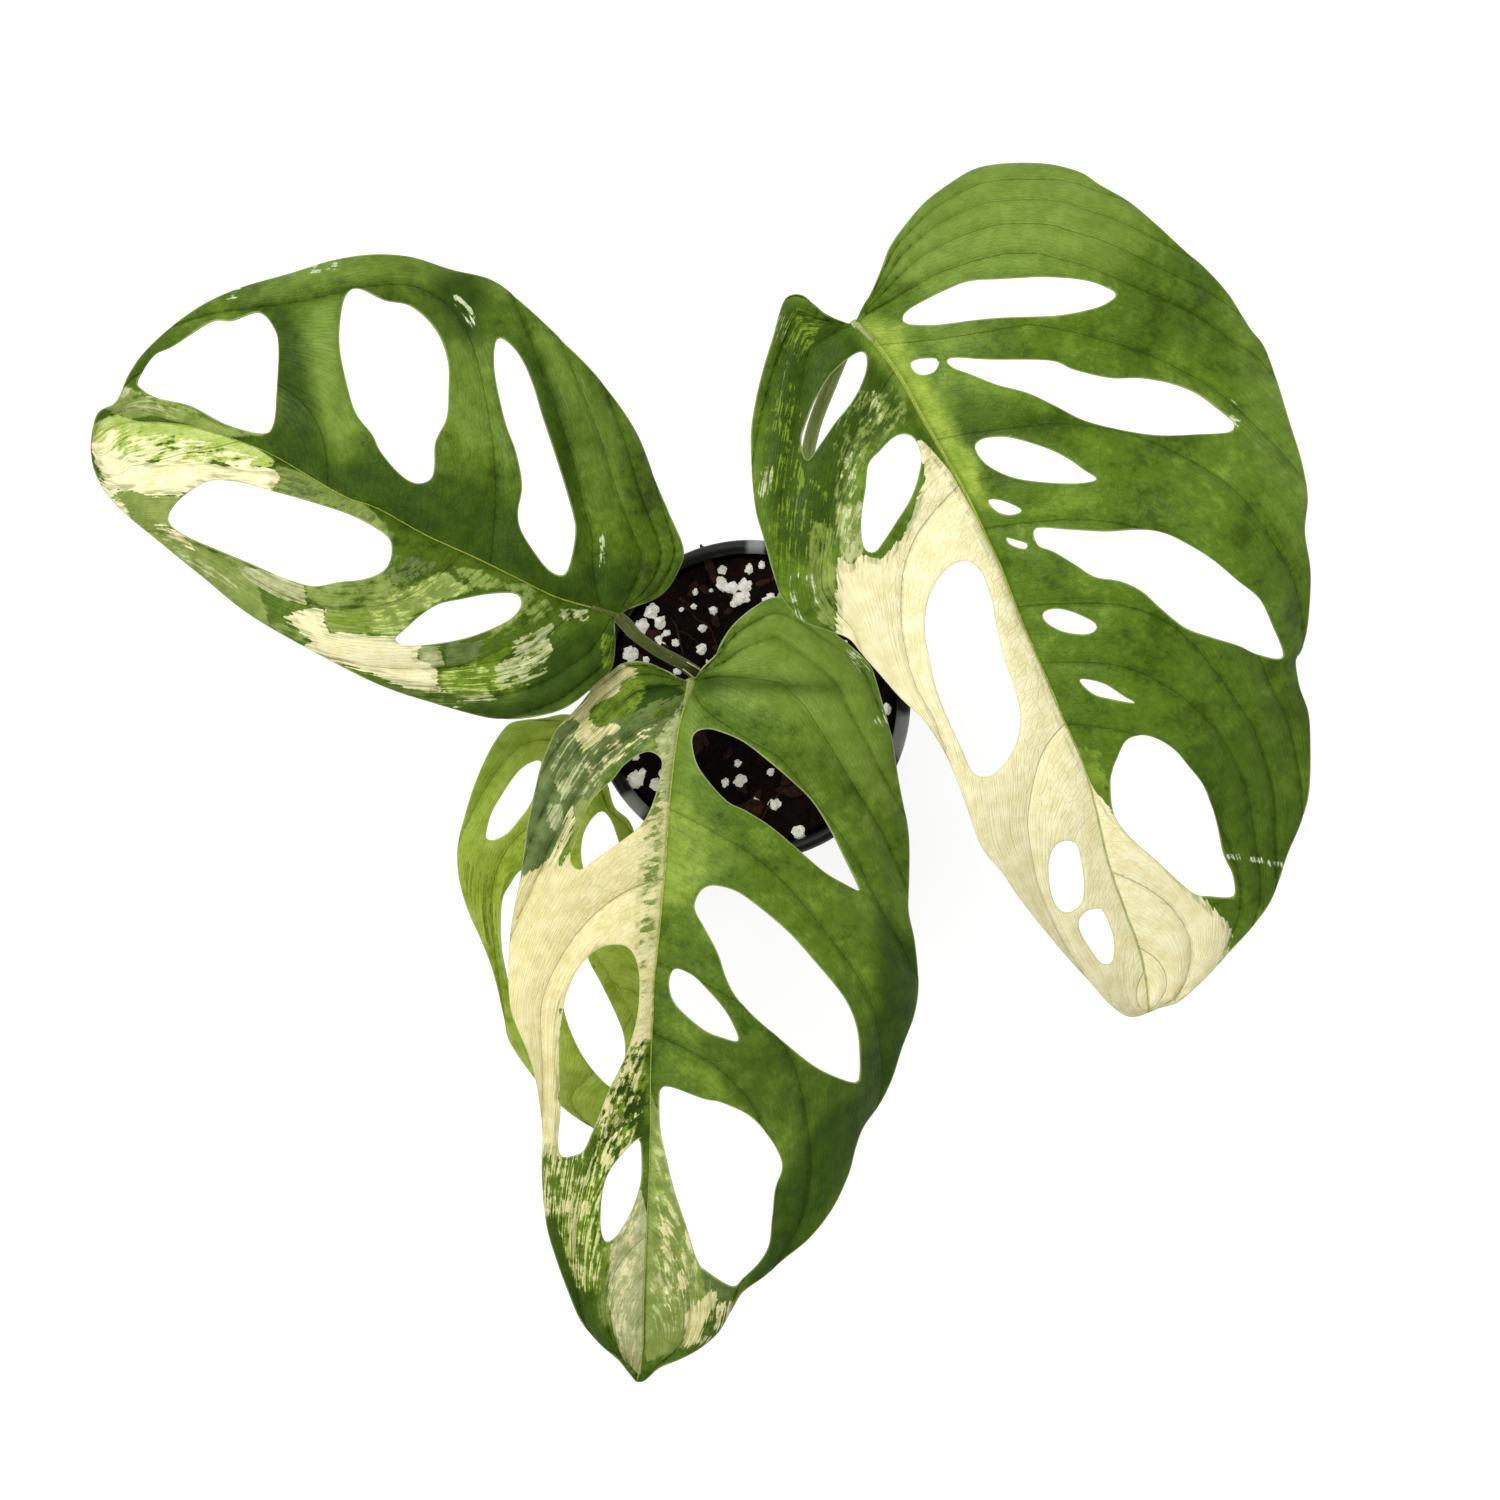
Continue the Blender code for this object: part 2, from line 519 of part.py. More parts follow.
def make_blade(leaf, look):
    """A leaf blade: two alike faces about its waved middle surface, and a wall between."""
    xy, triangles = blade_plan(leaf)
    middle = np.column_stack([xy, blade_height(leaf, xy)])
    normals = blade_normals(leaf, xy)
    half = BLADE_THICKNESS / 2
    bm = bmesh.new()
    top = [bm.verts.new(p) for p in middle + normals * half]
    depths = half + rib_depths(leaf, xy)
    under = [bm.verts.new(p) for p in middle - normals * depths[:, None]]
    for a, b, c in triangles:
        bm.faces.new((top[a], top[b], top[c]))
        bm.faces.new((under[c], under[b], under[a]))
    borders = {(one, two) for tri in triangles for one, two in zip(tri, np.roll(tri, -1))}
    for a, b in sorted(borders):
        if (b, a) not in borders:
            bm.faces.new((top[b], top[a], under[a]))
            bm.faces.new((top[b], under[a], under[b]))
    loose = [v for v in bm.verts if not v.link_faces]
    bmesh.ops.delete(bm, geom=loose, context="VERTS")
    finish_object(bm, leaf.name, look)


def make_tube(name, path, radii, sides, look):
    """A round tube along a path, with closed ends."""
    bm = bmesh.new()
    forward = np.gradient(path, axis=0)
    forward /= np.linalg.norm(forward, axis=1)[:, None]
    side = np.cross(forward[0], (0.0, 0.0, 1.0) if abs(forward[0][2]) < 0.9 else (0.0, 1.0, 0.0))
    rings = []
    for centre, ahead, radius in zip(path, forward, radii):
        side = side - ahead * (side @ ahead)
        side /= np.linalg.norm(side)
        up = np.cross(side, ahead)
        angles = [2 * math.pi * (k + 0.5) / sides for k in range(sides)]
        rings.append([bm.verts.new(centre + radius * (math.cos(a) * side + math.sin(a) * up))
                      for a in angles])
    for one, two in zip(rings, rings[1:]):
        for k in range(sides):
            bm.faces.new((one[k], one[(k + 1) % sides], two[(k + 1) % sides], two[k]))
    bm.faces.new(rings[0][::-1])
    bm.faces.new(rings[-1])
    bmesh.ops.triangulate(bm, faces=bm.faces[:])
    return finish_object(bm, name, look)


def make_turned(name, profile, segments, look):
    """A body turned about Z from a profile of (radius, height) that starts and ends on the axis."""
    bm = bmesh.new()
    rings = []
    for radius, height in profile:
        if radius == 0:
            rings.append([bm.verts.new((0, 0, height))])
            continue
        angles = [2 * math.pi * k / segments for k in range(segments)]
        rings.append([bm.verts.new((radius * math.cos(a), radius * math.sin(a), height))
                      for a in angles])
    skin_rings(bm, rings, segments)
    return finish_object(bm, name, look)


def skin_rings(bm, rings, segments):
    """Close the surface between rings of points, where a ring of one point is a tip."""
    for one, two in zip(rings, rings[1:]):
        for k in range(segments):
            ahead = (k + 1) % segments
            corners = [one[k % len(one)], one[ahead % len(one)],
                       two[ahead % len(two)], two[k % len(two)]]
            bm.faces.new(list(dict.fromkeys(corners)))


def pot_inner_radius(height):
    """Radius of the pot's inner wall at a height."""
    lower, upper = POT_FLOOR, POT_HEIGHT - POT_COLLAR_HEIGHT
    share = np.clip((height - lower) / (upper - lower), 0.0, 1.0)
    top_radius = POT_COLLAR_RADIUS - POT_COLLAR_STEP
    return POT_BASE_RADIUS + (top_radius - POT_BASE_RADIUS) * share - POT_WALL


def make_pot(look):
    """The nursery pot: tapered wall, collar, rolled rim and drain holes in its floor."""
    shoulder = POT_HEIGHT - POT_COLLAR_HEIGHT
    bead_centre = (POT_RIM_RADIUS - POT_BEAD_RADIUS, POT_HEIGHT - POT_BEAD_RADIUS)
    bead = []
    for step in range(POT_BEAD_STEPS + 1):
        angle = math.radians(POT_BEAD_START + POT_BEAD_SWEEP * step / POT_BEAD_STEPS)
        bead.append((bead_centre[0] + POT_BEAD_RADIUS * math.cos(angle),
                     bead_centre[1] + POT_BEAD_RADIUS * math.sin(angle)))
    profile = [
        (0, 0),
        (POT_BASE_RADIUS - POT_FOOT_BEVEL, 0),
        (POT_BASE_RADIUS, POT_FOOT_BEVEL),
        (POT_COLLAR_RADIUS - POT_COLLAR_STEP, shoulder - POT_COLLAR_BEVEL),
        (POT_COLLAR_RADIUS - POT_COLLAR_BEVEL, shoulder),
        *bead,
        (bead[-1][0], bead_centre[1] - POT_BEAD_RADIUS),
        (pot_inner_radius(shoulder), shoulder - POT_COLLAR_BEVEL),
        (pot_inner_radius(POT_FLOOR), POT_FLOOR),
        (0, POT_FLOOR),
    ]
    pot = make_turned("pot", profile, POT_SEGMENTS, look)
    for number in range(DRAIN_COUNT):
        angle = 2 * math.pi * (number + DRAIN_TURN) / DRAIN_COUNT
        place = (DRAIN_CIRCLE * math.cos(angle), DRAIN_CIRCLE * math.sin(angle), 0)
        cut_with(pot, make_drill("drain_%d" % number, place, DRAIN_RADIUS, 4 * POT_FLOOR, look))


def make_drill(name, place, radius, length, look):
    """An upright round cutter centred on a place."""
    bm = bmesh.new()
    bmesh.ops.create_cone(bm, cap_ends=True, segments=DRAIN_SIDES, radius1=radius, radius2=radius,
                          depth=length)
    drill = finish_object(bm, name, look)
    drill.location = place
    make_cutter(drill)
    return drill


def soil_height(x, y, lumps):
    """Height of the potting mix: a low mound with lumps of bark and perlite."""
    distance = math.hypot(x, y) / POT_RIM_RADIUS
    height = SOIL_TOP + SOIL_CROWN * (1 - distance ** 2)
    for lump_x, lump_y, size in lumps:
        gap = ((x - lump_x) ** 2 + (y - lump_y) ** 2) / (SOIL_LUMP_RADIUS * size) ** 2
        height += SOIL_LUMP_HEIGHT * size * math.exp(-gap)
    return height


def soil_lumps():
    """Lumps spread evenly over the top of the soil."""
    draw = random.Random(SOIL_SEED)
    lumps = []
    for number in range(SOIL_LUMPS):
        radius = (POT_COLLAR_RADIUS - SOIL_LUMP_MARGIN) * math.sqrt((number + 0.5) / SOIL_LUMPS)
        angle = number * math.radians(SOIL_LUMP_TURN)
        size = draw.uniform(*SOIL_LUMP_SIZES)
        lumps.append((radius * math.cos(angle), radius * math.sin(angle), size))
    return lumps


def make_soil(look):
    """The filling of potting mix, with a plain hole for the stem."""
    lumps = soil_lumps()
    edge_radius = POT_COLLAR_RADIUS - POT_BEAD_RADIUS - POT_WALL - GAP
    shoulder = POT_HEIGHT - POT_COLLAR_HEIGHT
    bm = bmesh.new()
    rings = [[bm.verts.new((0, 0, soil_height(0, 0, lumps)))]]
    for number in range(1, SOIL_RINGS + 1):
        radius = edge_radius * number / SOIL_RINGS
        rings.append([])
        for k in range(SOIL_SEGMENTS):
            angle = 2 * math.pi * (k + 0.5 * (number % 2)) / SOIL_SEGMENTS
            x, y = radius * math.cos(angle), radius * math.sin(angle)
            rings[-1].append(bm.verts.new((x, y, soil_height(x, y, lumps))))
    sides = [
        (pot_inner_radius(shoulder) - GAP, shoulder - SOIL_SHOULDER_DROP),
        (pot_inner_radius(POT_FLOOR) - GAP, POT_FLOOR + GAP),
    ]
    last_turn = 0.5 * (SOIL_RINGS % 2)
    for radius, height in sides:
        angles = [2 * math.pi * (k + last_turn) / SOIL_SEGMENTS for k in range(SOIL_SEGMENTS)]
        rings.append([bm.verts.new((radius * math.cos(a), radius * math.sin(a), height))
                      for a in angles])
    rings.append([bm.verts.new((0, 0, POT_FLOOR + GAP))])
    skin_rings(bm, rings, SOIL_SEGMENTS)
    bmesh.ops.triangulate(bm, faces=bm.faces[:])
    soil = finish_object(bm, "soil", look)
    cut_with(soil, stem_clearance("stem_hole", look, GAP))


def stem_path():
    """The stem's axis."""
    return smooth_curve(from_sheet(STEM_WAY), STEM_STEP)


def stem_radii(path):
    """The stem's radius along its axis, with a swelling at each node and a rounded top."""
    heights = path[:, 2]
    radii = np.full(len(path), STEM_RADIUS)
    for node in STEM_NODES:
        radii += STEM_NODE_SWELL * np.exp(-((heights - node) / STEM_NODE_SPREAD) ** 2)
    radii[-2:] *= STEM_TOP_SHARES
    return radii


def stem_clearance(name, look, gap):
    """A cutter of the stem's shape, a gap larger all round."""
    path = stem_path()
    radii = stem_radii(path) + gap
    path[0][2] -= gap
    path[-1][2] += gap
    cutter = make_tube(name, path, radii, STEM_SIDES, look)
    make_cutter(cutter)
    return cutter


def make_stem(look):
    """The short upright stem, its foot buried in the soil."""
    path = stem_path()
    make_tube("stem", path, stem_radii(path), STEM_SIDES, look)


def walked_along(path):
    """The length walked along a path to each of its points."""
    return np.concatenate([[0.0], np.cumsum(np.linalg.norm(np.diff(path, axis=0), axis=1))])


def petiole_tail(petiole):
    """The end of a petiole, which lies along the underside of the blade's midrib."""
    rib = smooth_curve(from_sheet(petiole.leaf.midrib), TAIL_STEP)
    places = np.array([TAIL_START, TAIL_LENGTH / 2, TAIL_LENGTH])
    xy = np.column_stack([np.interp(places, walked_along(rib), rib[:, k]) for k in (0, 1)])
    radii = petiole.neck_radius + (TAIL_RADIUS - petiole.neck_radius) * places / TAIL_LENGTH
    under = blade_height(petiole.leaf, xy) - BLADE_THICKNESS / 2 - TAIL_GAP
    return np.column_stack([xy, under - radii])


def make_petiole(petiole, clearance, look):
    """A petiole from its node on the stem to its tail under the blade."""
    way = np.vstack([from_sheet(petiole.way), petiole_tail(petiole)])
    path = smooth_curve(way, PETIOLE_STEP)
    walked = walked_along(path)
    foot = np.exp(-walked / PETIOLE_FOOT_LENGTH)
    radii = petiole.neck_radius + (petiole.foot_radius - petiole.neck_radius) * foot
    tail = np.clip((walked - (walked[-1] - TAIL_LENGTH)) / TAIL_LENGTH, 0.0, 1.0)
    radii += (TAIL_RADIUS - petiole.neck_radius) * tail
    cut_with(make_tube(petiole.name, path, radii, PETIOLE_SIDES, look), clearance)


def make_sheath(clearance, look):
    """The narrow pointed sheath at the growing tip."""
    path = smooth_curve(from_sheet(SHEATH_WAY), SHEATH_STEP)
    share = np.linspace(0.0, 1.0, len(path)) ** SHEATH_TAPER
    radii = SHEATH_FOOT_RADIUS + (SHEATH_TIP_RADIUS - SHEATH_FOOT_RADIUS) * share
    cut_with(make_tube("sheath", path, radii, PETIOLE_SIDES, look), clearance)


def build():
    """Make every piece of the plant and its pot."""
    remove_everything()
    black_plastic = material("black_plastic", (0.010, 0.010, 0.011), 0.32)
    potting_mix = material("potting_mix", (0.018, 0.009, 0.006), 0.95)
    stem_green = material("stem_green", (0.12, 0.17, 0.035), 0.5)
    petiole_green = material("petiole_green", (0.17, 0.25, 0.06), 0.45)
    sheath_cream = material("sheath_cream", (0.62, 0.50, 0.34), 0.6)
    leaf_looks = {
        LEFT_LEAF.name: material("leaf_left_green", (0.11, 0.20, 0.02), 0.4),
        RIGHT_LEAF.name: material("leaf_right_green", (0.14, 0.24, 0.03), 0.4),
        FRONT_LEAF.name: material("leaf_front_green", (0.13, 0.22, 0.025), 0.4),
        LOW_LEAF.name: material("leaf_low_green", (0.20, 0.32, 0.03), 0.4),
    }
    make_pot(black_plastic)
    make_soil(potting_mix)
    make_stem(stem_green)
    clearance = stem_clearance("stem_clearance", stem_green, GAP)
    make_sheath(clearance, sheath_cream)
    for petiole in PETIOLES:
        make_petiole(petiole, clearance, petiole_green)
        make_blade(petiole.leaf, leaf_looks[petiole.leaf.name])


build()
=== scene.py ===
"""The looks of a potted, variegated Monstera adansonii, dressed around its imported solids.

Each fine piece follows the outline, ridge or way of the solid that it stands for. The
colours of the leaves are patches drawn on the same plan sheet. Metres, +Z up.
"""

import math
import random
from dataclasses import dataclass

import bmesh
import bpy
import numpy as np
from mathutils import Euler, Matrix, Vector, noise
from mathutils.geometry import delaunay_2d_cdt
from mathutils.kdtree import KDTree


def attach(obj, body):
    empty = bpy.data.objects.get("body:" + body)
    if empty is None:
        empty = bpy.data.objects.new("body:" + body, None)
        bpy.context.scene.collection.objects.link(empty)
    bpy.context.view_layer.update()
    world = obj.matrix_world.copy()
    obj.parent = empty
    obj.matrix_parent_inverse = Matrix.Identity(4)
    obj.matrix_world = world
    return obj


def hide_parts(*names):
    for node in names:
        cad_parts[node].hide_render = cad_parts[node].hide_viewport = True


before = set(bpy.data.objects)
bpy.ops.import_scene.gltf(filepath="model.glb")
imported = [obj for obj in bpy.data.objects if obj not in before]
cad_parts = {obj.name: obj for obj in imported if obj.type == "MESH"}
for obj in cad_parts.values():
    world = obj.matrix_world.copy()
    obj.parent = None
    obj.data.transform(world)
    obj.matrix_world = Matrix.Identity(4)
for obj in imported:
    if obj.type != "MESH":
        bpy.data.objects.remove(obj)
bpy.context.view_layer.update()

# The plan sheet: outlines are drawn from above in sheet units of 0.2 mm, with
# x to the right and y to the front, and the pot's axis at SHEET_AXIS.
SHEET_UNIT = 0.0002
SHEET_AXIS = (750, 700)
MM = 0.001


@dataclass
class Leaf:
    """A blade drawn on the plan sheet, with the figures that shape its surface."""
    name: str
    outline: list
    holes: list
    midrib: list
    ridge: tuple
    slope: float
    sag: float
    roll: float
    wave: float
    wave_count: float


LEFT_LEAF = Leaf(
    name="leaf_left",
    outline=[
        (618, 615), (660, 595), (678, 570), (683, 548), (668, 510), (655, 480), (635, 430), (600, 380),
        (560, 338), (520, 300), (490, 278), (450, 268), (410, 256), (370, 254), (330, 260), (290, 272),
        (235, 288), (190, 310), (150, 343), (128, 370), (114, 400), (95, 412), (88, 440), (92, 470),
        (110, 500), (150, 535), (200, 575), (250, 615), (320, 655), (380, 685), (450, 708), (505, 719),
        (560, 710), (600, 680), (612, 665), (615, 640),
    ],
    holes=[
        [(136, 379), (152, 355), (172, 345), (210, 321), (231, 320), (258, 312), (274, 329), (278, 350),
         (276, 391), (273, 423), (262, 433), (226, 424), (189, 405), (156, 397), (140, 388)],
        [(357, 288), (345, 296), (340, 321), (340, 351), (349, 393), (357, 415), (372, 434), (381, 452),
         (400, 474), (416, 483), (430, 479), (434, 466), (435, 442), (446, 418), (448, 391), (447, 359),
         (435, 329), (411, 306), (384, 300)],
        [(499, 337), (494, 348), (495, 376), (505, 421), (516, 452), (522, 485), (518, 511), (521, 530),
         (535, 553), (549, 570), (562, 575), (569, 565), (575, 534), (572, 511), (557, 461), (542, 416),
         (533, 386), (523, 362), (512, 346)],
        [(213, 480), (198, 485), (179, 499), (168, 514), (170, 525), (188, 537), (218, 550), (254, 565),
         (284, 578), (313, 586), (338, 582), (364, 579), (384, 570), (391, 555), (389, 539), (374, 527),
         (348, 514), (315, 503), (272, 491), (239, 482)],
        [(512, 593), (488, 594), (462, 599), (439, 604), (421, 615), (404, 630), (395, 639), (404, 645),
         (423, 645), (452, 641), (475, 635), (497, 626), (512, 617), (520, 607), (520, 598)],
    ],
    midrib=[
        (618, 615), (587, 606), (554, 596), (519, 579), (472, 556), (424, 534), (377, 508), (341, 495),
        (282, 460), (253, 446), (210, 431), (181, 424), (140, 421), (114, 424), (88, 442),
    ],
    ridge=(0.098, 0.1035, 0.105, 0.101, 0.088),
    slope=0.30, sag=0.050, roll=0.02, wave=0.0022, wave_count=2.4)

RIGHT_LEAF = Leaf(
    name="leaf_right",
    outline=[
        (853, 325), (838, 322), (825, 316), (814, 307), (803, 298), (792, 297), (783, 305), (773, 339),
        (764, 368), (756, 400), (751, 433), (752, 473), (756, 512), (763, 538), (773, 574), (781, 596),
        (792, 611), (803, 622), (827, 631), (848, 639), (861, 654), (879, 674), (896, 694), (909, 707),
        (924, 722), (939, 744), (952, 770), (968, 813), (981, 847), (1002, 873), (1018, 897), (1044, 930),
        (1066, 956), (1092, 984), (1111, 1005), (1132, 1017), (1161, 1008), (1177, 1003), (1194, 989),
        (1215, 968), (1238, 942), (1255, 923), (1269, 902), (1279, 878), (1287, 852), (1300, 821),
        (1308, 791), (1309, 744), (1307, 713), (1298, 687), (1294, 661), (1300, 650), (1306, 624),
        (1308, 574), (1302, 533), (1305, 499), (1300, 465), (1288, 424), (1275, 379), (1263, 347),
        (1249, 329), (1228, 296), (1204, 270), (1184, 253), (1156, 228), (1126, 203), (1098, 187),
        (1080, 175), (1052, 167), (1022, 165), (992, 167), (970, 173), (946, 188), (924, 205), (905, 227),
        (890, 248), (881, 270), (872, 292), (862, 309),
    ],
    holes=[
        [(902, 320), (907, 326), (935, 327), (968, 323), (1000, 320), (1054, 318), (1087, 312),
         (1104, 306), (1114, 297), (1104, 290), (1082, 283), (1043, 280), (1000, 282), (968, 284),
         (944, 293), (920, 305), (907, 313)],
        [(910, 365), (920, 361), (935, 361), (938, 365), (933, 374), (922, 377), (913, 373)],
        [(946, 363), (955, 360), (987, 362), (1048, 363), (1072, 372), (1108, 380), (1139, 380),
         (1169, 385), (1195, 395), (1217, 411), (1230, 422), (1232, 428), (1226, 434), (1195, 436),
         (1158, 437), (1121, 432), (1082, 422), (1054, 408), (1026, 395), (996, 387), (968, 376),
         (952, 370)],
        [(974, 450), (979, 442), (992, 439), (1011, 440), (1044, 450), (1065, 460), (1082, 472),
         (1094, 481), (1076, 485), (1043, 484), (1011, 479), (985, 466)],
        [(987, 502), (996, 501), (1011, 506), (1020, 512), (1011, 516), (1000, 515), (991, 509)],
        [(1005, 539), (1013, 541), (1025, 545), (1024, 550), (1014, 548), (1007, 544)],
        [(1034, 530), (1065, 531), (1104, 533), (1139, 531), (1163, 535), (1186, 546), (1210, 561),
         (1234, 581), (1256, 599), (1269, 624), (1281, 657), (1256, 655), (1236, 646), (1206, 637),
         (1182, 628), (1158, 609), (1139, 592), (1117, 582), (1093, 578), (1072, 565), (1052, 553),
         (1036, 546)],
        [(1041, 616), (1046, 611), (1059, 610), (1076, 615), (1093, 624), (1093, 631), (1082, 635),
         (1061, 632), (1046, 624)],
        [(1078, 681), (1087, 680), (1104, 685), (1121, 696), (1132, 703), (1108, 699), (1091, 694)],
        [(1109, 784), (1111, 770), (1115, 759), (1124, 741), (1139, 735), (1156, 739), (1173, 750),
         (1186, 765), (1201, 784), (1210, 805), (1216, 826), (1222, 854), (1231, 873), (1234, 892),
         (1229, 897), (1210, 896), (1191, 892), (1156, 861), (1125, 833), (1112, 812)],
        [(853, 357), (864, 355), (866, 368), (861, 385), (851, 404), (835, 424), (822, 443), (807, 462),
         (801, 443), (807, 422), (816, 400), (831, 376)],
        [(903, 436), (892, 440), (879, 453), (868, 466), (865, 490), (861, 516), (861, 538), (865, 551),
         (874, 553), (883, 542), (896, 522), (909, 501), (917, 479), (920, 457), (913, 440)],
        [(963, 562), (948, 568), (935, 583), (926, 605), (924, 635), (928, 657), (935, 689), (948, 722),
         (961, 750), (970, 770), (978, 776), (991, 775), (1004, 763), (1015, 743), (1019, 717),
         (1013, 689), (1002, 657), (995, 626), (991, 603), (983, 579), (974, 566)],
        [(1066, 840), (1054, 845), (1048, 859), (1048, 878), (1052, 899), (1061, 911), (1071, 911),
         (1081, 902), (1083, 883), (1080, 861), (1076, 845)],
        [(1097, 908), (1085, 911), (1078, 920), (1080, 932), (1090, 949), (1099, 961), (1106, 964),
         (1112, 961), (1114, 944), (1110, 927), (1103, 912)],
    ],
    midrib=[
        (853, 325), (870, 340), (887, 361), (903, 385), (920, 417), (935, 443), (948, 466), (965, 496),
        (985, 538), (1000, 570), (1015, 609), (1030, 644), (1048, 685), (1065, 726), (1080, 758),
        (1092, 798), (1104, 850), (1110, 871), (1124, 909), (1139, 949), (1147, 985), (1149, 1010),
    ],
    ridge=(0.134, 0.139, 0.138, 0.128, 0.106),
    slope=0.26, sag=0.062, roll=0.03, wave=0.0028, wave_count=2.2)

FRONT_LEAF = Leaf(
    name="leaf_front",
    outline=[
        (692, 680), (703, 667), (715, 655), (722, 641), (734, 624), (754, 607), (776, 597), (803, 607),
        (831, 630), (848, 643), (863, 657), (873, 670), (882, 699), (892, 737), (899, 779), (909, 832),
        (910, 880), (909, 911), (915, 941), (919, 982), (915, 1015), (903, 1048), (893, 1080),
        (881, 1105), (864, 1129), (856, 1150), (849, 1176), (833, 1210), (810, 1240), (785, 1261),
        (764, 1279), (743, 1295), (730, 1316), (718, 1336), (700, 1352), (679, 1364), (658, 1373),
        (645, 1385), (636, 1387), (631, 1382), (617, 1364), (599, 1348), (580, 1325), (567, 1295),
        (555, 1261), (546, 1229), (542, 1192), (541, 1157), (542, 1135), (539, 1105), (534, 1076),
        (526, 1050), (517, 1029), (510, 1007), (508, 972), (510, 931), (515, 901), (521, 873), (526, 832),
        (530, 812), (535, 789), (540, 767), (548, 746), (556, 730), (571, 714), (583, 700), (595, 685),
        (609, 673), (620, 664), (636, 661), (652, 664), (669, 672), (682, 679),
    ],
    holes=[
        [(651, 752), (640, 754), (624, 765), (613, 779), (600, 791), (588, 806), (581, 824), (574, 845),
         (570, 861), (579, 870), (593, 861), (620, 842), (638, 828), (648, 814), (656, 793), (661, 771),
         (661, 759)],
        [(705, 729), (695, 733), (692, 743), (697, 764), (709, 782), (728, 802), (746, 811), (771, 827),
         (795, 847), (824, 872), (844, 884), (858, 891), (858, 886), (844, 857), (830, 829), (813, 802),
         (793, 782), (766, 759), (742, 741), (718, 731)],
        [(615, 945), (601, 948), (587, 958), (575, 974), (566, 995), (562, 1015), (559, 1044),
         (559, 1074), (560, 1113), (558, 1135), (558, 1150), (562, 1158), (573, 1157), (583, 1152),
         (591, 1135), (601, 1111), (609, 1090), (620, 1068), (628, 1050), (636, 1023), (639, 999),
         (639, 974), (634, 956), (626, 947)],
        [(711, 886), (701, 891), (695, 903), (696, 913), (705, 929), (718, 954), (726, 978), (736, 997),
         (754, 1017), (783, 1042), (813, 1066), (836, 1078), (856, 1084), (860, 1076), (860, 1054),
         (858, 1033), (852, 1013), (840, 992), (815, 962), (791, 935), (766, 913), (742, 895),
         (726, 888)],
        [(677, 969), (671, 974), (669, 986), (673, 1001), (685, 1015), (705, 1031), (722, 1038),
         (738, 1041), (732, 1023), (722, 1007), (707, 990), (693, 976)],
        [(638, 1141), (624, 1153), (610, 1171), (603, 1189), (600, 1215), (601, 1235), (606, 1244),
         (615, 1239), (624, 1226), (633, 1208), (640, 1185), (641, 1160)],
        [(671, 1088), (661, 1090), (659, 1101), (660, 1131), (665, 1156), (674, 1192), (686, 1228),
         (697, 1263), (707, 1274), (732, 1289), (743, 1281), (759, 1265), (769, 1247), (772, 1224),
         (775, 1192), (782, 1171), (779, 1155), (766, 1134), (748, 1116), (720, 1103), (704, 1100)],
    ],
    midrib=[
        (692, 680), (686, 699), (679, 725), (674, 757), (669, 803), (666, 851), (662, 901), (658, 942),
        (654, 982), (653, 1015), (651, 1044), (650, 1084), (650, 1125), (649, 1166), (647, 1215),
        (645, 1261), (643, 1307), (642, 1352), (636, 1387),
    ],
    ridge=(0.093, 0.098, 0.097, 0.088, 0.070),
    slope=0.30, sag=0.045, roll=0.0, wave=0.0022, wave_count=2.6)

LOW_LEAF = Leaf(
    name="leaf_low",
    outline=[
        (575, 757), (594, 764), (606, 785), (613, 808), (628, 822), (636, 845), (641, 880), (650, 920),
        (656, 960), (658, 1000), (656, 1050), (650, 1090), (640, 1122), (624, 1146), (608, 1142),
        (591, 1134), (573, 1123), (560, 1113), (543, 1098), (528, 1078), (515, 1060), (505, 1042),
        (501, 1023), (494, 990), (487, 966), (477, 940), (466, 915), (459, 893), (455, 871), (455, 845),
        (462, 816), (471, 787), (483, 759), (495, 738), (507, 724), (522, 720), (542, 718), (562, 714),
        (580, 717), (588, 730), (585, 745),
    ],
    holes=[
        [(539, 762), (528, 763), (515, 773), (501, 793), (489, 814), (484, 832), (484, 839), (491, 841),
         (505, 834), (517, 820), (526, 808), (537, 784)],
        [(520, 871), (507, 887), (500, 901), (498, 927), (499, 952), (503, 974), (507, 993), (511, 1021),
         (528, 1012), (537, 985), (544, 945), (546, 905), (538, 880)],
        [(580, 950), (589, 968), (601, 990), (615, 1020), (622, 1040), (623, 1062), (617, 1084),
         (609, 1092), (591, 1075), (575, 1050), (562, 1015), (560, 985), (566, 960)],
        [(600, 812), (590, 820), (581, 838), (580, 862), (588, 884), (602, 896), (617, 888), (622, 866),
         (617, 842), (609, 820)],
    ],
    midrib=[
        (575, 757), (567, 800), (564, 850), (570, 905), (586, 945), (612, 985), (632, 1020),
        (640, 1060), (638, 1105), (624, 1146),
    ],
    ridge=(0.0620, 0.0570, 0.0500, 0.0400, 0.0300),
    slope=0.22, sag=0.045, roll=0.0, wave=0.0012, wave_count=2.0)


@dataclass
class Petiole:
    """A leaf stalk: its node on the stem, its way on the sheet (heights in mm) and its radii."""
    name: str
    leaf: Leaf
    way: list
    foot_radius: float
    neck_radius: float


# The stem's axis on the sheet, with heights in mm
STEM_WAY = [(716, 694, 43.8), (717, 695, 56), (714, 692, 68), (716, 692, 78), (717, 691, 86.5)]

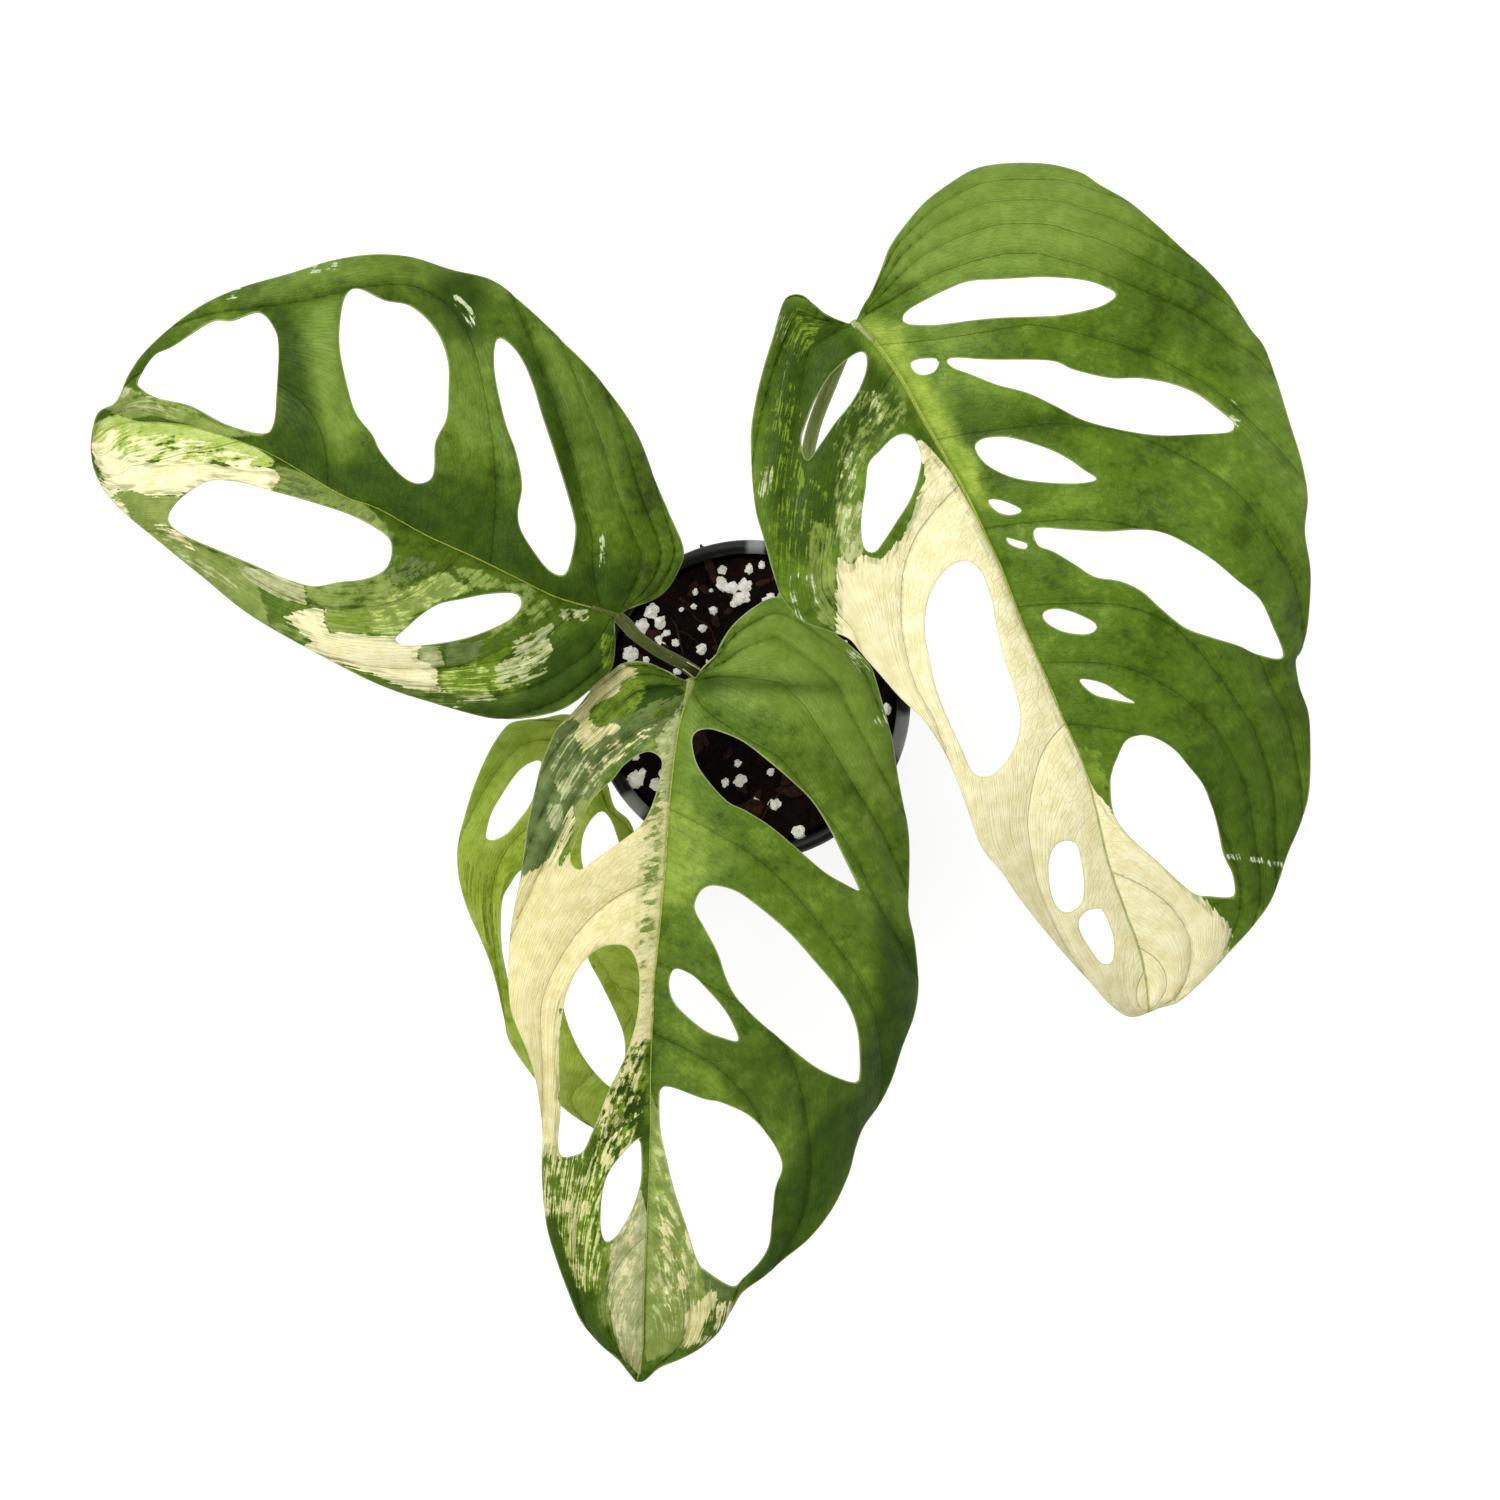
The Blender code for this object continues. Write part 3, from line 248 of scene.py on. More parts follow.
PETIOLES = [
    Petiole("petiole_left", LEFT_LEAF,
            [(716, 692, 77), (706, 683, 80.5), (697, 674, 84.5), (681, 663, 89.5), (657, 650, 93.7),
             (637, 636, 95.8), (624, 622, 95.9)],
            0.0019, 0.0011),
    Petiole("petiole_right", RIGHT_LEAF,
            [(716, 692, 73), (726, 680, 75.5), (742, 654, 79), (766, 624, 82), (783, 600, 85.5),
             (794, 568, 93), (799, 530, 103), (803, 484, 113.5), (813, 430, 122.5), (830, 385, 128.5),
             (846, 347, 131.8)],
            0.0021, 0.0014),
    Petiole("petiole_front", FRONT_LEAF,
            [(715, 693, 65), (709, 706, 68.5), (700, 718, 75), (693, 718, 82), (690, 708, 87.5)],
            0.0018, 0.0014),
    Petiole("petiole_low", LOW_LEAF,
            [(715, 693, 59), (700, 699, 60.2), (670, 712, 62.5), (635, 728, 63.2), (603, 742, 62),
             (585, 751, 60.6)],
            0.0016, 0.0011),
]

# The sheath that wraps the growing tip, on the sheet with heights in mm
SHEATH_WAY = [(717, 690, 85.6), (716, 680, 87.6), (712, 669, 89.0), (706, 659, 90.0)]

# Where the lateral veins leave each midrib, in mm along it; less than 0 is round the base.
# The first list is for the half on the right of the way to the tip, the second for its left.
VEINS = {
    "leaf_left": ([-22, -10, 4, 28, 64, 98], [-8, 8, 34, 84]),
    "leaf_right": ([-12, 13, 39, 91], [-24, -13, 7, 29, 49, 66, 78, 91, 122, 138]),
    "leaf_front": ([-8, 6, 40, 85, 112], [-16, 1, 26, 57, 71, 110]),
    "leaf_low": ([-10, 12, 34], [-8, 30, 50]),
}


def patch(outline, **fills):
    """An area of other colours, drawn on the sheet. A layer's fill 1 is solid, less is streaky."""
    return outline, fills


# The coloured patches of each leaf, among them painted light, painted shade and painted highlights.
# The order of the layers is that of LAYERS.
MARKINGS = {
    "leaf_left": [
        patch([
            (383, 452), (430, 482), (518, 511), (562, 575), (600, 560), (640, 570), (618, 615), (587, 606),
            (554, 596), (519, 579), (472, 556), (424, 534), (377, 508), (330, 470)], shade=0.8),
        patch([
            (268, 300), (281, 305), (293, 330), (305, 370), (313, 410), (323, 450), (336, 482), (300, 470),
            (262, 440), (275, 420), (279, 360), (276, 325)], shade=0.95),
        patch([
            (436, 470), (470, 480), (500, 490), (518, 520), (545, 575), (480, 560), (420, 500)], shade=0.7),
        patch([
            (520, 345), (545, 360), (568, 420), (580, 500), (578, 560), (560, 500), (538, 410)], shade=0.85),
        patch([
            (310, 310), (338, 300), (340, 350), (349, 393), (362, 430), (345, 450), (328, 440), (318, 400),
            (308, 360)], haze=0.75),
        patch([(455, 340), (492, 345), (490, 400), (500, 440), (470, 450), (450, 420)], haze=0.6),
        patch([
            (430, 706), (520, 696), (550, 640), (600, 622), (622, 640), (600, 690), (505, 730)], shade=0.9),
        patch([(290, 262), (370, 244), (450, 258), (440, 285), (380, 275), (330, 275), (250, 300)], haze=0.6),
        patch([(540, 330), (570, 370), (610, 420), (620, 500), (600, 500), (580, 430)], haze=0.5),
        patch([
            (118, 385), (140, 392), (189, 407), (226, 426), (262, 435), (225, 436), (190, 424), (150, 414),
            (125, 418), (105, 408)], olive=0.95),
        patch([
            (118, 385), (150, 396), (189, 410), (210, 426), (190, 424), (150, 412), (122, 412)], pale=0.35),
        patch([
            (88, 425), (112, 412), (140, 421), (181, 424), (215, 433), (253, 446), (276, 462), (262, 470),
            (215, 462), (170, 466), (120, 456), (90, 450)], bright=0.95),
        patch([
            (104, 416), (150, 423), (215, 436), (262, 456), (240, 464), (190, 458), (150, 462), (110, 440)
        ], lime=0.5),
        patch([
            (276, 470), (280, 480), (269, 491), (213, 480), (198, 486), (179, 497), (173, 495), (145, 496),
            (132, 490), (115, 490), (112, 494), (93, 461), (88, 440), (104, 448), (150, 462), (182, 458),
            (215, 466), (250, 466)], cream=1.0),
        patch([
            (92, 430), (120, 428), (160, 434), (210, 438), (258, 458), (240, 466), (210, 466), (182, 458),
            (150, 462), (104, 448), (88, 442)], cream=0.5),
        patch([
            (107, 494), (132, 490), (160, 495), (179, 497), (168, 515), (171, 528), (213, 552), (250, 566),
            (262, 600), (276, 640), (196, 585), (140, 530)], olive=1.0),
        patch([(96, 478), (104, 480), (118, 498), (132, 516), (126, 519), (106, 502)], cream=0.9),
        patch([(151, 523), (164, 525), (182, 535), (197, 548), (191, 550), (168, 536)], cream=0.95),
        patch([(150, 528), (190, 556), (221, 571), (240, 590), (215, 580), (170, 548)], pale=0.6),
        patch([
            (277, 466), (300, 472), (330, 488), (365, 505), (385, 525), (394, 541), (374, 527), (348, 514),
            (315, 503), (268, 491)], olive=1.0, slate=0.42),
        patch([(238, 566), (264, 571), (302, 582), (308, 604), (275, 597), (247, 581)], pale=1.0),
        patch([
            (305, 583), (338, 582), (384, 570), (396, 570), (398, 590), (372, 604), (331, 607), (311, 606)
        ], olive=0.9),
        patch([(391, 555), (440, 562), (425, 575), (400, 588), (384, 580), (384, 570)], slate=0.6),
        patch([
            (283, 616), (300, 611), (312, 608), (326, 610), (323, 619), (331, 633), (395, 636), (420, 646),
            (417, 656), (424, 664), (437, 668), (437, 684), (446, 691), (403, 686), (371, 674), (330, 660),
            (300, 646), (312, 642)], cream=1.0),
        patch([
            (326, 611), (360, 608), (372, 603), (400, 592), (425, 580), (449, 569), (455, 581), (473, 589),
            (447, 598), (421, 611), (397, 634), (331, 633), (323, 619)], olive=1.0),
        patch([
            (372, 603), (400, 592), (425, 580), (449, 569), (455, 581), (473, 589), (447, 598), (421, 611),
            (397, 634), (372, 634)], bright=0.3),
        patch([(326, 611), (366, 608), (372, 620), (366, 634), (331, 633), (323, 619)], lime=0.45),
        patch([(453, 567), (482, 571), (507, 584), (490, 590), (465, 585)], olive=0.6),
        patch([(250, 620), (285, 624), (303, 630), (312, 640), (296, 641), (262, 632)], olive=0.95),
        patch([(372, 678), (403, 686), (440, 694), (470, 700), (440, 706), (395, 692)], slate=0.35),
        patch([(416, 646), (442, 647), (444, 664), (430, 668), (417, 660)], pale=1.0),
        patch([(442, 645), (483, 640), (479, 655), (460, 664), (447, 665)], slate=1.0),
        patch([
            (436, 675), (460, 668), (489, 655), (511, 643), (514, 650), (498, 664), (505, 674), (499, 688),
            (470, 697), (450, 694), (438, 683)], lime=1.0),
        patch([
            (436, 675), (460, 668), (477, 664), (494, 674), (510, 676), (540, 672), (530, 684), (499, 690),
            (470, 699), (450, 694)], bright=0.3),
        patch([
            (512, 642), (533, 630), (552, 621), (553, 632), (546, 640), (554, 650), (544, 662), (520, 672),
            (498, 674), (494, 668), (509, 656)], pale=0.75),
        patch([(495, 664), (545, 655), (546, 672), (512, 688), (497, 684)], pale=0.5),
        patch([(455, 692), (490, 693), (496, 700), (455, 706)], pale=0.4),
        patch([(556, 607), (590, 610), (588, 622), (562, 620)], pale=0.6),
        patch([(500, 584), (530, 584), (535, 592), (520, 600), (508, 591)], olive=0.8),
        patch([(600, 634), (612, 636), (612, 661), (602, 668)], lime=0.8),
        patch([(600, 535), (604, 537), (604, 558), (600, 566)], glint=1.0),
        patch([(520, 598), (547, 600), (556, 612), (510, 632), (480, 640), (515, 612)], olive=0.5),
        patch([(432, 275), (470, 272), (482, 300), (480, 345), (462, 340), (442, 310)], shade=0.9),
        patch([(446, 300), (458, 292), (470, 303), (474, 326), (464, 330), (456, 314)], glint=0.27),
        patch([(222, 290), (238, 287), (236, 296), (226, 299)], glint=0.2),
        patch([(308, 266), (336, 262), (334, 269), (312, 272)], glint=0.2),
    ],
    "leaf_right": [
        patch([
            (880, 270), (905, 227), (946, 188), (992, 160), (1080, 170), (1156, 225), (1110, 280),
            (1000, 276), (930, 300)], haze=1.0),
        patch([(853, 325), (930, 330), (1000, 325), (960, 352), (900, 345)], haze=0.6),
        patch([(905, 385), (960, 385), (1010, 400), (990, 415), (950, 410)], haze=0.35),
        patch([
            (853, 322), (872, 322), (900, 330), (908, 352), (930, 390), (950, 425), (975, 465), (985, 505),
            (966, 497), (943, 456), (922, 420), (895, 378), (870, 350)], glow=0.8),
        patch([(960, 395), (1010, 405), (1050, 420), (1040, 436), (990, 432), (965, 440)], shade=0.5),
        patch([
            (783, 300), (853, 338), (885, 380), (905, 415), (880, 436), (850, 470), (835, 540), (806, 560),
            (785, 560), (766, 480)], shade=0.75),
        patch([(1180, 770), (1300, 680), (1320, 800), (1260, 900), (1232, 860)], shade=0.5),
        patch([(1230, 300), (1300, 420), (1300, 560), (1270, 500), (1250, 400)], haze=0.4),
        patch([(768, 330), (800, 310), (830, 320), (800, 360), (780, 370)], lime=0.3),
        patch([
            (783, 370), (800, 400), (800, 470), (830, 500), (835, 560), (800, 626), (770, 560), (760, 460)
        ], lime=0.16),
        patch([
            (840, 390), (905, 400), (905, 434), (880, 446), (860, 480), (835, 500), (835, 440)], olive=0.3),
        patch([
            (916, 440), (925, 445), (950, 475), (975, 520), (1000, 572), (1030, 646), (1062, 722),
            (1092, 787), (1109, 809), (1150, 850), (1199, 895), (1227, 921), (1231, 936), (1227, 951),
            (1250, 1000), (1150, 1060), (1080, 1030), (960, 900), (900, 760), (836, 650), (836, 590),
            (836, 552), (849, 567), (862, 556), (880, 560), (900, 540), (925, 480)], cream=1.0),
        patch([(837, 505), (863, 505), (863, 552), (850, 567), (838, 549)], pale=0.55, olive=1.0),
        patch([(812, 520), (834, 535), (836, 590), (834, 630), (818, 624), (806, 580)], olive=0.9),
        patch([(864, 394), (876, 394), (880, 404), (884, 424), (868, 424), (860, 408)], pale=0.38),
        patch([(892, 386), (906, 392), (902, 422), (880, 452), (872, 440), (888, 418)], olive=0.34),
        patch([(842, 462), (858, 450), (858, 505), (840, 516)], pale=0.3),
        patch([(765, 455), (773, 457), (768, 500), (760, 500)], pale=0.45),
        patch([(775, 322), (786, 318), (784, 345), (776, 350)], pale=0.3),
        patch([(788, 578), (812, 574), (820, 622), (798, 620)], glint=0.22),
        patch([(1065, 745), (1100, 750), (1112, 800), (1092, 800)], lime=0.8),
        patch([(1224, 400), (1240, 402), (1238, 428), (1228, 420)], glint=0.26),
        patch([(1225, 854), (1258, 857), (1290, 864), (1290, 867), (1256, 861), (1225, 858)], glint=0.5),
    ],
    "leaf_front": [
        patch([
            (740, 610), (800, 600), (860, 655), (880, 720), (890, 800), (850, 780), (790, 720), (720, 700)
        ], haze=0.8),
        patch([
            (690, 690), (700, 730), (690, 800), (740, 860), (690, 885), (668, 900), (668, 800), (678, 730)
        ], haze=0.6),
        patch([(668, 812), (680, 800), (705, 830), (700, 880), (684, 900), (664, 900)], glow=0.5),
        patch([(694, 676), (760, 680), (842, 684), (836, 692), (774, 690), (697, 692)], shade=0.9),
        patch([
            (876, 900), (925, 950), (915, 1050), (870, 1140), (800, 1260), (730, 1320), (760, 1262),
            (776, 1190), (820, 1110), (856, 1090), (862, 1060), (876, 1000)], shade=1.0),
        patch([(700, 1040), (770, 1050), (850, 1090), (800, 1130), (740, 1100)], shade=0.5),
        patch([
            (600, 728), (660, 700), (684, 694), (676, 722), (640, 750), (612, 772), (588, 800), (575, 790),
            (585, 760)], slate=0.8),
        patch([
            (640, 750), (664, 715), (682, 696), (679, 725), (674, 757), (669, 803), (667, 851), (656, 851),
            (640, 842), (656, 800), (661, 771), (661, 759), (651, 752)], olive=0.95),
        patch([
            (655, 740), (672, 715), (682, 700), (676, 740), (669, 803), (666, 860), (640, 850), (656, 806),
            (662, 771)], pale=0.62),
        patch([
            (545, 745), (556, 728), (571, 712), (583, 698), (595, 683), (609, 670), (620, 664), (638, 670),
            (634, 678), (622, 680), (618, 692), (602, 702), (591, 708), (588, 718), (597, 728), (615, 724),
            (622, 729), (606, 736), (593, 746), (577, 756), (581, 744), (574, 738), (580, 722), (570, 718),
            (556, 730)], cream=1.0),
        patch([
            (591, 708), (603, 700), (620, 690), (622, 680), (637, 676), (648, 690), (640, 702), (633, 714),
            (630, 728), (615, 724), (597, 728)], lime=0.6, deep=0.45),
        patch([
            (631, 728), (634, 713), (641, 701), (637, 686), (660, 682), (686, 690), (672, 702), (650, 712),
            (645, 722)], deep=1.0),
        patch([
            (545, 748), (562, 722), (580, 720), (575, 738), (581, 744), (577, 757), (593, 747), (606, 737),
            (622, 731), (640, 728), (610, 760), (590, 784), (576, 806), (572, 830), (560, 850), (545, 862),
            (519, 884), (524, 832)], slate=1.0),
        patch([
            (575, 790), (590, 782), (606, 770), (601, 792), (588, 806), (580, 826), (575, 850), (568, 850),
            (572, 830), (570, 806)], olive=1.0),
        patch([(553, 770), (562, 764), (568, 776), (570, 792), (560, 796), (554, 784)], pale=0.95),
        patch([(548, 806), (560, 804), (562, 822), (556, 830), (548, 826)], pale=0.95),
        patch([
            (566, 812), (575, 806), (574, 824), (566, 846), (556, 866), (548, 866), (558, 840)], cream=0.9),
        patch([(555, 735), (600, 735), (612, 756), (596, 790), (560, 800), (552, 770)], pale=0.2),
        patch([
            (585, 762), (608, 744), (634, 734), (660, 722), (640, 745), (606, 768), (588, 784)], cream=0.36),
        patch([
            (519, 880), (530, 872), (545, 862), (556, 856), (560, 866), (568, 853), (578, 862), (596, 852),
            (620, 834), (638, 820), (646, 850), (642, 901), (640, 960), (640, 1000), (636, 1040), (628, 960),
            (600, 950), (560, 1010), (560, 1100), (561, 1158), (552, 1166), (548, 1150), (541, 1162),
            (530, 1150), (500, 1010), (505, 920)], cream=1.0),
        patch([
            (626, 826), (648, 806), (669, 800), (666, 860), (662, 901), (658, 942), (654, 982), (651, 1030),
            (628, 1040), (632, 930), (630, 870)], olive=1.0),
        patch([
            (630, 822), (650, 806), (669, 800), (666, 860), (662, 901), (658, 942), (654, 982), (651, 1040),
            (630, 1040), (636, 930), (636, 870)], pale=0.6, cream=0.56),
        patch([(636, 950), (657, 950), (654, 982), (651, 1020), (634, 1036)], cream=0.9),
        patch([
            (612, 1080), (636, 1023), (652, 1010), (650, 1120), (641, 1150), (610, 1170), (590, 1160),
            (596, 1120)], shade=0.9, lime=0.5, cream=0.36),
        patch([
            (540, 1150), (556, 1160), (600, 1140), (620, 1150), (600, 1200), (600, 1300), (580, 1290),
            (560, 1210), (546, 1230)], bright=0.42, cream=0.26),
        patch([
            (560, 1165), (602, 1180), (601, 1240), (606, 1250), (600, 1300), (575, 1290), (556, 1220)
        ], lime=0.8, bright=0.35),
        patch([(566, 1200), (574, 1205), (584, 1290), (574, 1290)], cream=0.55),
        patch([(576, 1180), (588, 1180), (592, 1250), (588, 1300), (576, 1260)], deep=0.5),
        patch([
            (610, 1244), (624, 1228), (640, 1190), (646, 1215), (643, 1307), (640, 1382), (620, 1360),
            (606, 1300)], pale=1.0),
        patch([(612, 1240), (640, 1200), (643, 1380), (630, 1380), (606, 1310)], cream=0.3, olive=0.35),
        patch([(600, 1240), (612, 1244), (606, 1330), (596, 1320)], olive=0.8),
        patch([
            (650, 1090), (664, 1130), (697, 1263), (715, 1285), (700, 1340), (684, 1352), (645, 1366),
            (648, 1215)], olive=1.0),
        patch([(650, 1090), (664, 1110), (684, 1220), (696, 1262), (680, 1290), (650, 1260)], bright=0.35),
        patch([
            (541, 1180), (549, 1240), (562, 1290), (590, 1345), (632, 1388), (618, 1366), (598, 1332),
            (584, 1300), (566, 1262), (554, 1210)], shade=1.0),
        patch([(650, 1090), (664, 1110), (684, 1220), (700, 1275), (690, 1330), (648, 1340)], pale=0.3),
        patch([(652, 1190), (680, 1210), (700, 1270), (680, 1320), (664, 1310)], cream=0.2),
        patch([(662, 1246), (669, 1248), (674, 1262), (666, 1268)], cream=1.0),
        patch([(676, 1276), (682, 1278), (687, 1290), (680, 1290)], cream=1.0),
        patch([(700, 1270), (712, 1278), (732, 1289), (745, 1290), (722, 1300), (704, 1292)], slate=0.85),
        patch([
            (684, 1352), (686, 1315), (704, 1300), (714, 1292), (719, 1300), (712, 1314), (702, 1318),
            (700, 1344)], cream=1.0),
        patch([(702, 1318), (722, 1304), (734, 1306), (722, 1330), (700, 1348)], cream=0.45),
        patch([(846, 648), (864, 655), (870, 676), (858, 674)], glint=0.2),
        patch([(876, 706), (886, 712), (884, 728), (876, 722)], glint=0.2),
    ],
    "leaf_low": [
        # painted light: the glow lifts the low leaf's top out of the shade of the leaves above
        patch([
            (495, 730), (520, 712), (548, 724), (530, 752), (505, 785), (484, 830), (470, 850), (452, 850),
            (462, 800), (480, 750)], glow=0.75),
        patch([
            (545, 905), (560, 960), (562, 1000), (590, 1060), (612, 1094), (590, 1120), (540, 1080),
            (520, 1040), (540, 960)], glow=0.5),
        patch([
            (495, 880), (545, 860), (600, 880), (600, 960), (540, 1060), (500, 990), (480, 930), (455, 860)
        ], lime=0.3),
        patch([(560, 1080), (620, 1090), (640, 1150), (580, 1140), (530, 1090)], shade=0.3),
    ],
}


@dataclass
class Tint:
    """A layer's low and high tones, its border's blend in mm and how much the border wanders."""
    low: str
    high: str
    blend: float
    wander: float


# The layers are laid over the green in this order
LAYERS = {
    # painted light: lighter green where light falls on lobes and folds that face it
    "haze": Tint("#6c862e", "#7c963c", 3.2, 0.8),
    # glow: a soft yellow-green, beside the midrib the leaf's own paler green, on the low leaf painted light
    "glow": Tint("#86a032", "#a4ba4c", 2.0, 0.9),
    # painted shade: darker green where the blade folds, curls down or turns away from the light
    "shade": Tint("#2a4106", "#39520c", 2.6, 0.8),
    "deep": Tint("#233c08", "#35520e", 0.10, 1.0),
    "olive": Tint("#76883c", "#94a554", 0.25, 1.0),
    "lime": Tint("#5a7416", "#7d962a", 0.07, 1.0),
    "bright": Tint("#9db648", "#c4d27c", 0.12, 1.0),
    "slate": Tint("#516230", "#728448", 0.09, 1.0),
    "pale": Tint("#a2a96c", "#cdd09e", 0.07, 1.0),
    "cream": Tint("#ece2aa", "#fbf5c8", 0.07, 1.0),
    # painted highlight: wet glints painted as pale flecks
    "glint": Tint("#a4b878", "#dfe8c8", 0.12, 1.0),
}

# Painted shade: the front leaf droops, and its cream is painted a little darker than that of the others
SHADED_CREAM_TONES = {"leaf_front": ("#ddd292", "#efe6b0")}

# A dark, a middle and a light green for each leaf, and half its midrib's width in mm
LEAF_TONES = {
    "leaf_left": ("#34470a", "#4d6713", "#6b8429", (0.24, 0.12)),
    "leaf_right": ("#3e560c", "#567319", "#74912e", (0.50, 0.16)),
    "leaf_front": ("#3a520b", "#56701c", "#748e30", (0.26, 0.14)),
    # The low leaf's greens are its own paler lime, set lighter still as painted light against the shade of
    # the leaves above it
    "leaf_low": ("#78901f", "#98aa3e", "#b2c05e", (0.24, 0.10)),
}

# A dark, a light and a fleck tone for each petiole
STALK_TONES = {
    "petiole_left": ("#363c10", "#56601f", "#8c8c54"),
    "petiole_right": ("#78883f", "#a3ae66", "#c9c79a"),
    "petiole_front": ("#6a7a34", "#95a25a", "#b9ba88"),
    "petiole_low": ("#6a7a34", "#95a25a", "#b9ba88"),
}


def from_sheet(points):
    """Sheet points, with heights in mm where they have them, in metres."""
    placed = np.array(points, dtype=float)
    placed[:, 0] = (placed[:, 0] - SHEET_AXIS[0]) * SHEET_UNIT
    placed[:, 1] = (SHEET_AXIS[1] - placed[:, 1]) * SHEET_UNIT
    placed[:, 2:] *= MM
    return placed


def unit(rows):
    """Each row of a list of vectors, made 1 long."""
    return rows / np.linalg.norm(rows, axis=1)[:, None]


def left_of(run):
    """Unit vectors to the left of each way in plan."""
    return unit(np.column_stack([-run[:, 1], run[:, 0]]))


def walked_along(path):
    """The length walked to each point of a path."""
    return np.concatenate([[0.0], np.cumsum(np.linalg.norm(np.diff(path, axis=0), axis=1))])


def between(a, b, c, d, t):
    """A Catmull-Rom curve from b, at t = 0, to c, at t = 1."""
    return 0.5 * (2 * b + (c - a) * t + (2 * a - 5 * b + 4 * c - d) * t ** 2
                  + (3 * b - a - 3 * c + d) * t ** 3)


# A span may be this share of a step longer than its pieces before it gets one more
SPAN_SLACK = 0.25


def smooth_curve(points, step, closed=False):
    """A smooth curve through the points, with a point about every step."""
    if closed:
        padded = np.vstack([points[-1:], points, points[:2]])
    else:
        padded = np.vstack([2 * points[:1] - points[1:2], points, 2 * points[-1:] - points[-2:-1]])
    made = []
    for span in range(len(padded) - 3):
        corners = padded[span:span + 4]
        pieces = max(1, math.ceil(np.linalg.norm(corners[2] - corners[1]) / step - SPAN_SLACK))
        made += [between(*corners, piece / pieces) for piece in range(pieces)]
    if not closed:
        made.append(points[-1])
    return np.array(made)


def smooth_steps(values, t):
    """Evenly spaced values read at t from 0 to 1 along a smooth curve, straight outside it."""
    values = np.array(values)
    last = len(values) - 1
    padded = np.concatenate([[2 * values[0] - values[1]], values, [2 * values[-1] - values[-2]]])
    inside = np.clip(t, 0.0, 1.0) * last
    span = np.minimum(inside.astype(int), last - 1)
    read = between(*(padded[span + k] for k in range(4)), inside - span)
    start_slope = (values[1] - values[0]) * last
    end_slope = (values[-1] - values[-2]) * last
    return read + np.minimum(t, 0.0) * start_slope + np.maximum(t - 1.0, 0.0) * end_slope


def noise_at(x, y, size, seed):
    """Smooth noise from -1 to 1 in plan, with lumps of a size in metres."""
    return noise.noise(Vector((x / size, y / size, seed)))


def inside_loop(loop, xy):
    """Whether each point lies inside a closed loop."""
    x, y = xy[:, 0:1], xy[:, 1:2]
    x0, y0 = loop[:, 0], loop[:, 1]
    x1, y1 = np.roll(x0, -1), np.roll(y0, -1)
    spans = (y0 > y) != (y1 > y)
    rise = np.where(y1 == y0, 1.0, y1 - y0)
    return (spans & (x < (x1 - x0) * (y - y0) / rise + x0)).sum(axis=1) % 2 == 1


def on_blade(loops, xy):
    """Whether each point lies inside the outline and outside every hole."""
    keep = inside_loop(loops[0], xy)
    for hole in loops[1:]:
        keep &= ~inside_loop(hole, xy)
    return keep


def gaps_to(points, others):
    """Distance from each point to the nearest of the others, in plan."""
    tree = KDTree(len(others))
    for number, (x, y) in enumerate(others):
        tree.insert((x, y, 0.0), number)
    tree.balance()
    return np.array([tree.find((x, y, 0.0))[2] for x, y in points])


def clear_of(points, others, distance):
    """The points that keep a distance from the others."""
    return points[gaps_to(points, others) > distance]


def inset(loop, inward, distance):
    """A closed loop moved sideways: into its inside, or out of it where inward is -1."""
    left = left_of(np.roll(loop, -1, axis=0) - np.roll(loop, 1, axis=0))
    x, y = loop[:, 0], loop[:, 1]
    turn = np.sign((x * np.roll(y, -1) - np.roll(x, -1) * y).sum())
    return loop + left * turn * inward * distance


def even_field(low, high, step):
    """Points spread over a box in even triangles."""
    rows = []
    for number, y in enumerate(np.arange(low[1], high[1], step * math.sqrt(3) / 2)):
        x = np.arange(low[0] + step / 2 * (number % 2), high[0], step)
        rows.append(np.column_stack([x, np.full(len(x), y)]))
    return np.vstack(rows)


# How near the even points come to the others, as a share of their step
FIELD_CLEAR = 0.6
SAME_POINT = 1e-7


def plan_mesh(loops, extra, step):
    """A flat area with holes split into triangles that face up: its points and triangles."""
    edge = np.vstack(loops)
    given = np.vstack([edge, extra])
    field = even_field(edge.min(axis=0), edge.max(axis=0), step)
    field = clear_of(field[on_blade(loops, field)], given, FIELD_CLEAR * step)
    edges = []
    first = 0
    for loop in loops:
        count = len(loop)
        edges += [(first + k, first + (k + 1) % count) for k in range(count)]
        first += count
    corners = [Vector(point) for point in np.vstack([given, field])]
    found = delaunay_2d_cdt(corners, edges, [], 0, SAME_POINT)
    xy = np.array([tuple(v) for v in found[0]])
    triangles = np.array(found[2])
    triangles = triangles[on_blade(loops, xy[triangles].mean(axis=1))]
    a, b, c = (xy[triangles[:, k]] for k in range(3))
    flipped = np.cross(b - a, c - a) < 0
    triangles[flipped] = triangles[flipped][:, ::-1]
    return xy, triangles


def in_scene(name, data):
    """A new object in the scene that holds a mesh, a light or a camera."""
    made = bpy.data.objects.new(name, data)
    bpy.context.scene.collection.objects.link(made)
    return made


def mesh_object(name, points, faces, attributes, look, sharp=180):
    """A mesh object, smooth up to an angle in degrees, with float values at its points."""
    mesh = bpy.data.meshes.new(name)
    mesh.from_pydata(points.tolist(), [], faces)
    for key, values in attributes.items():
        layer = mesh.attributes.new(key, "FLOAT", "POINT")
        layer.data.foreach_set("value", np.asarray(values, dtype=np.float32))
    mesh.materials.append(look)
    mesh.update()
    mesh.shade_smooth()
    if sharp < 180:
        mesh.set_sharp_from_angle(angle=math.radians(sharp))
    return in_scene(name, mesh)


def dress(piece, node):
    """Let a piece stand for a CAD node: hang it from the root and hide the node."""
    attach(piece, "root")
    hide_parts(node)


def add_on(piece):
    """Add a piece that stands for no CAD node."""
    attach(piece, "root")


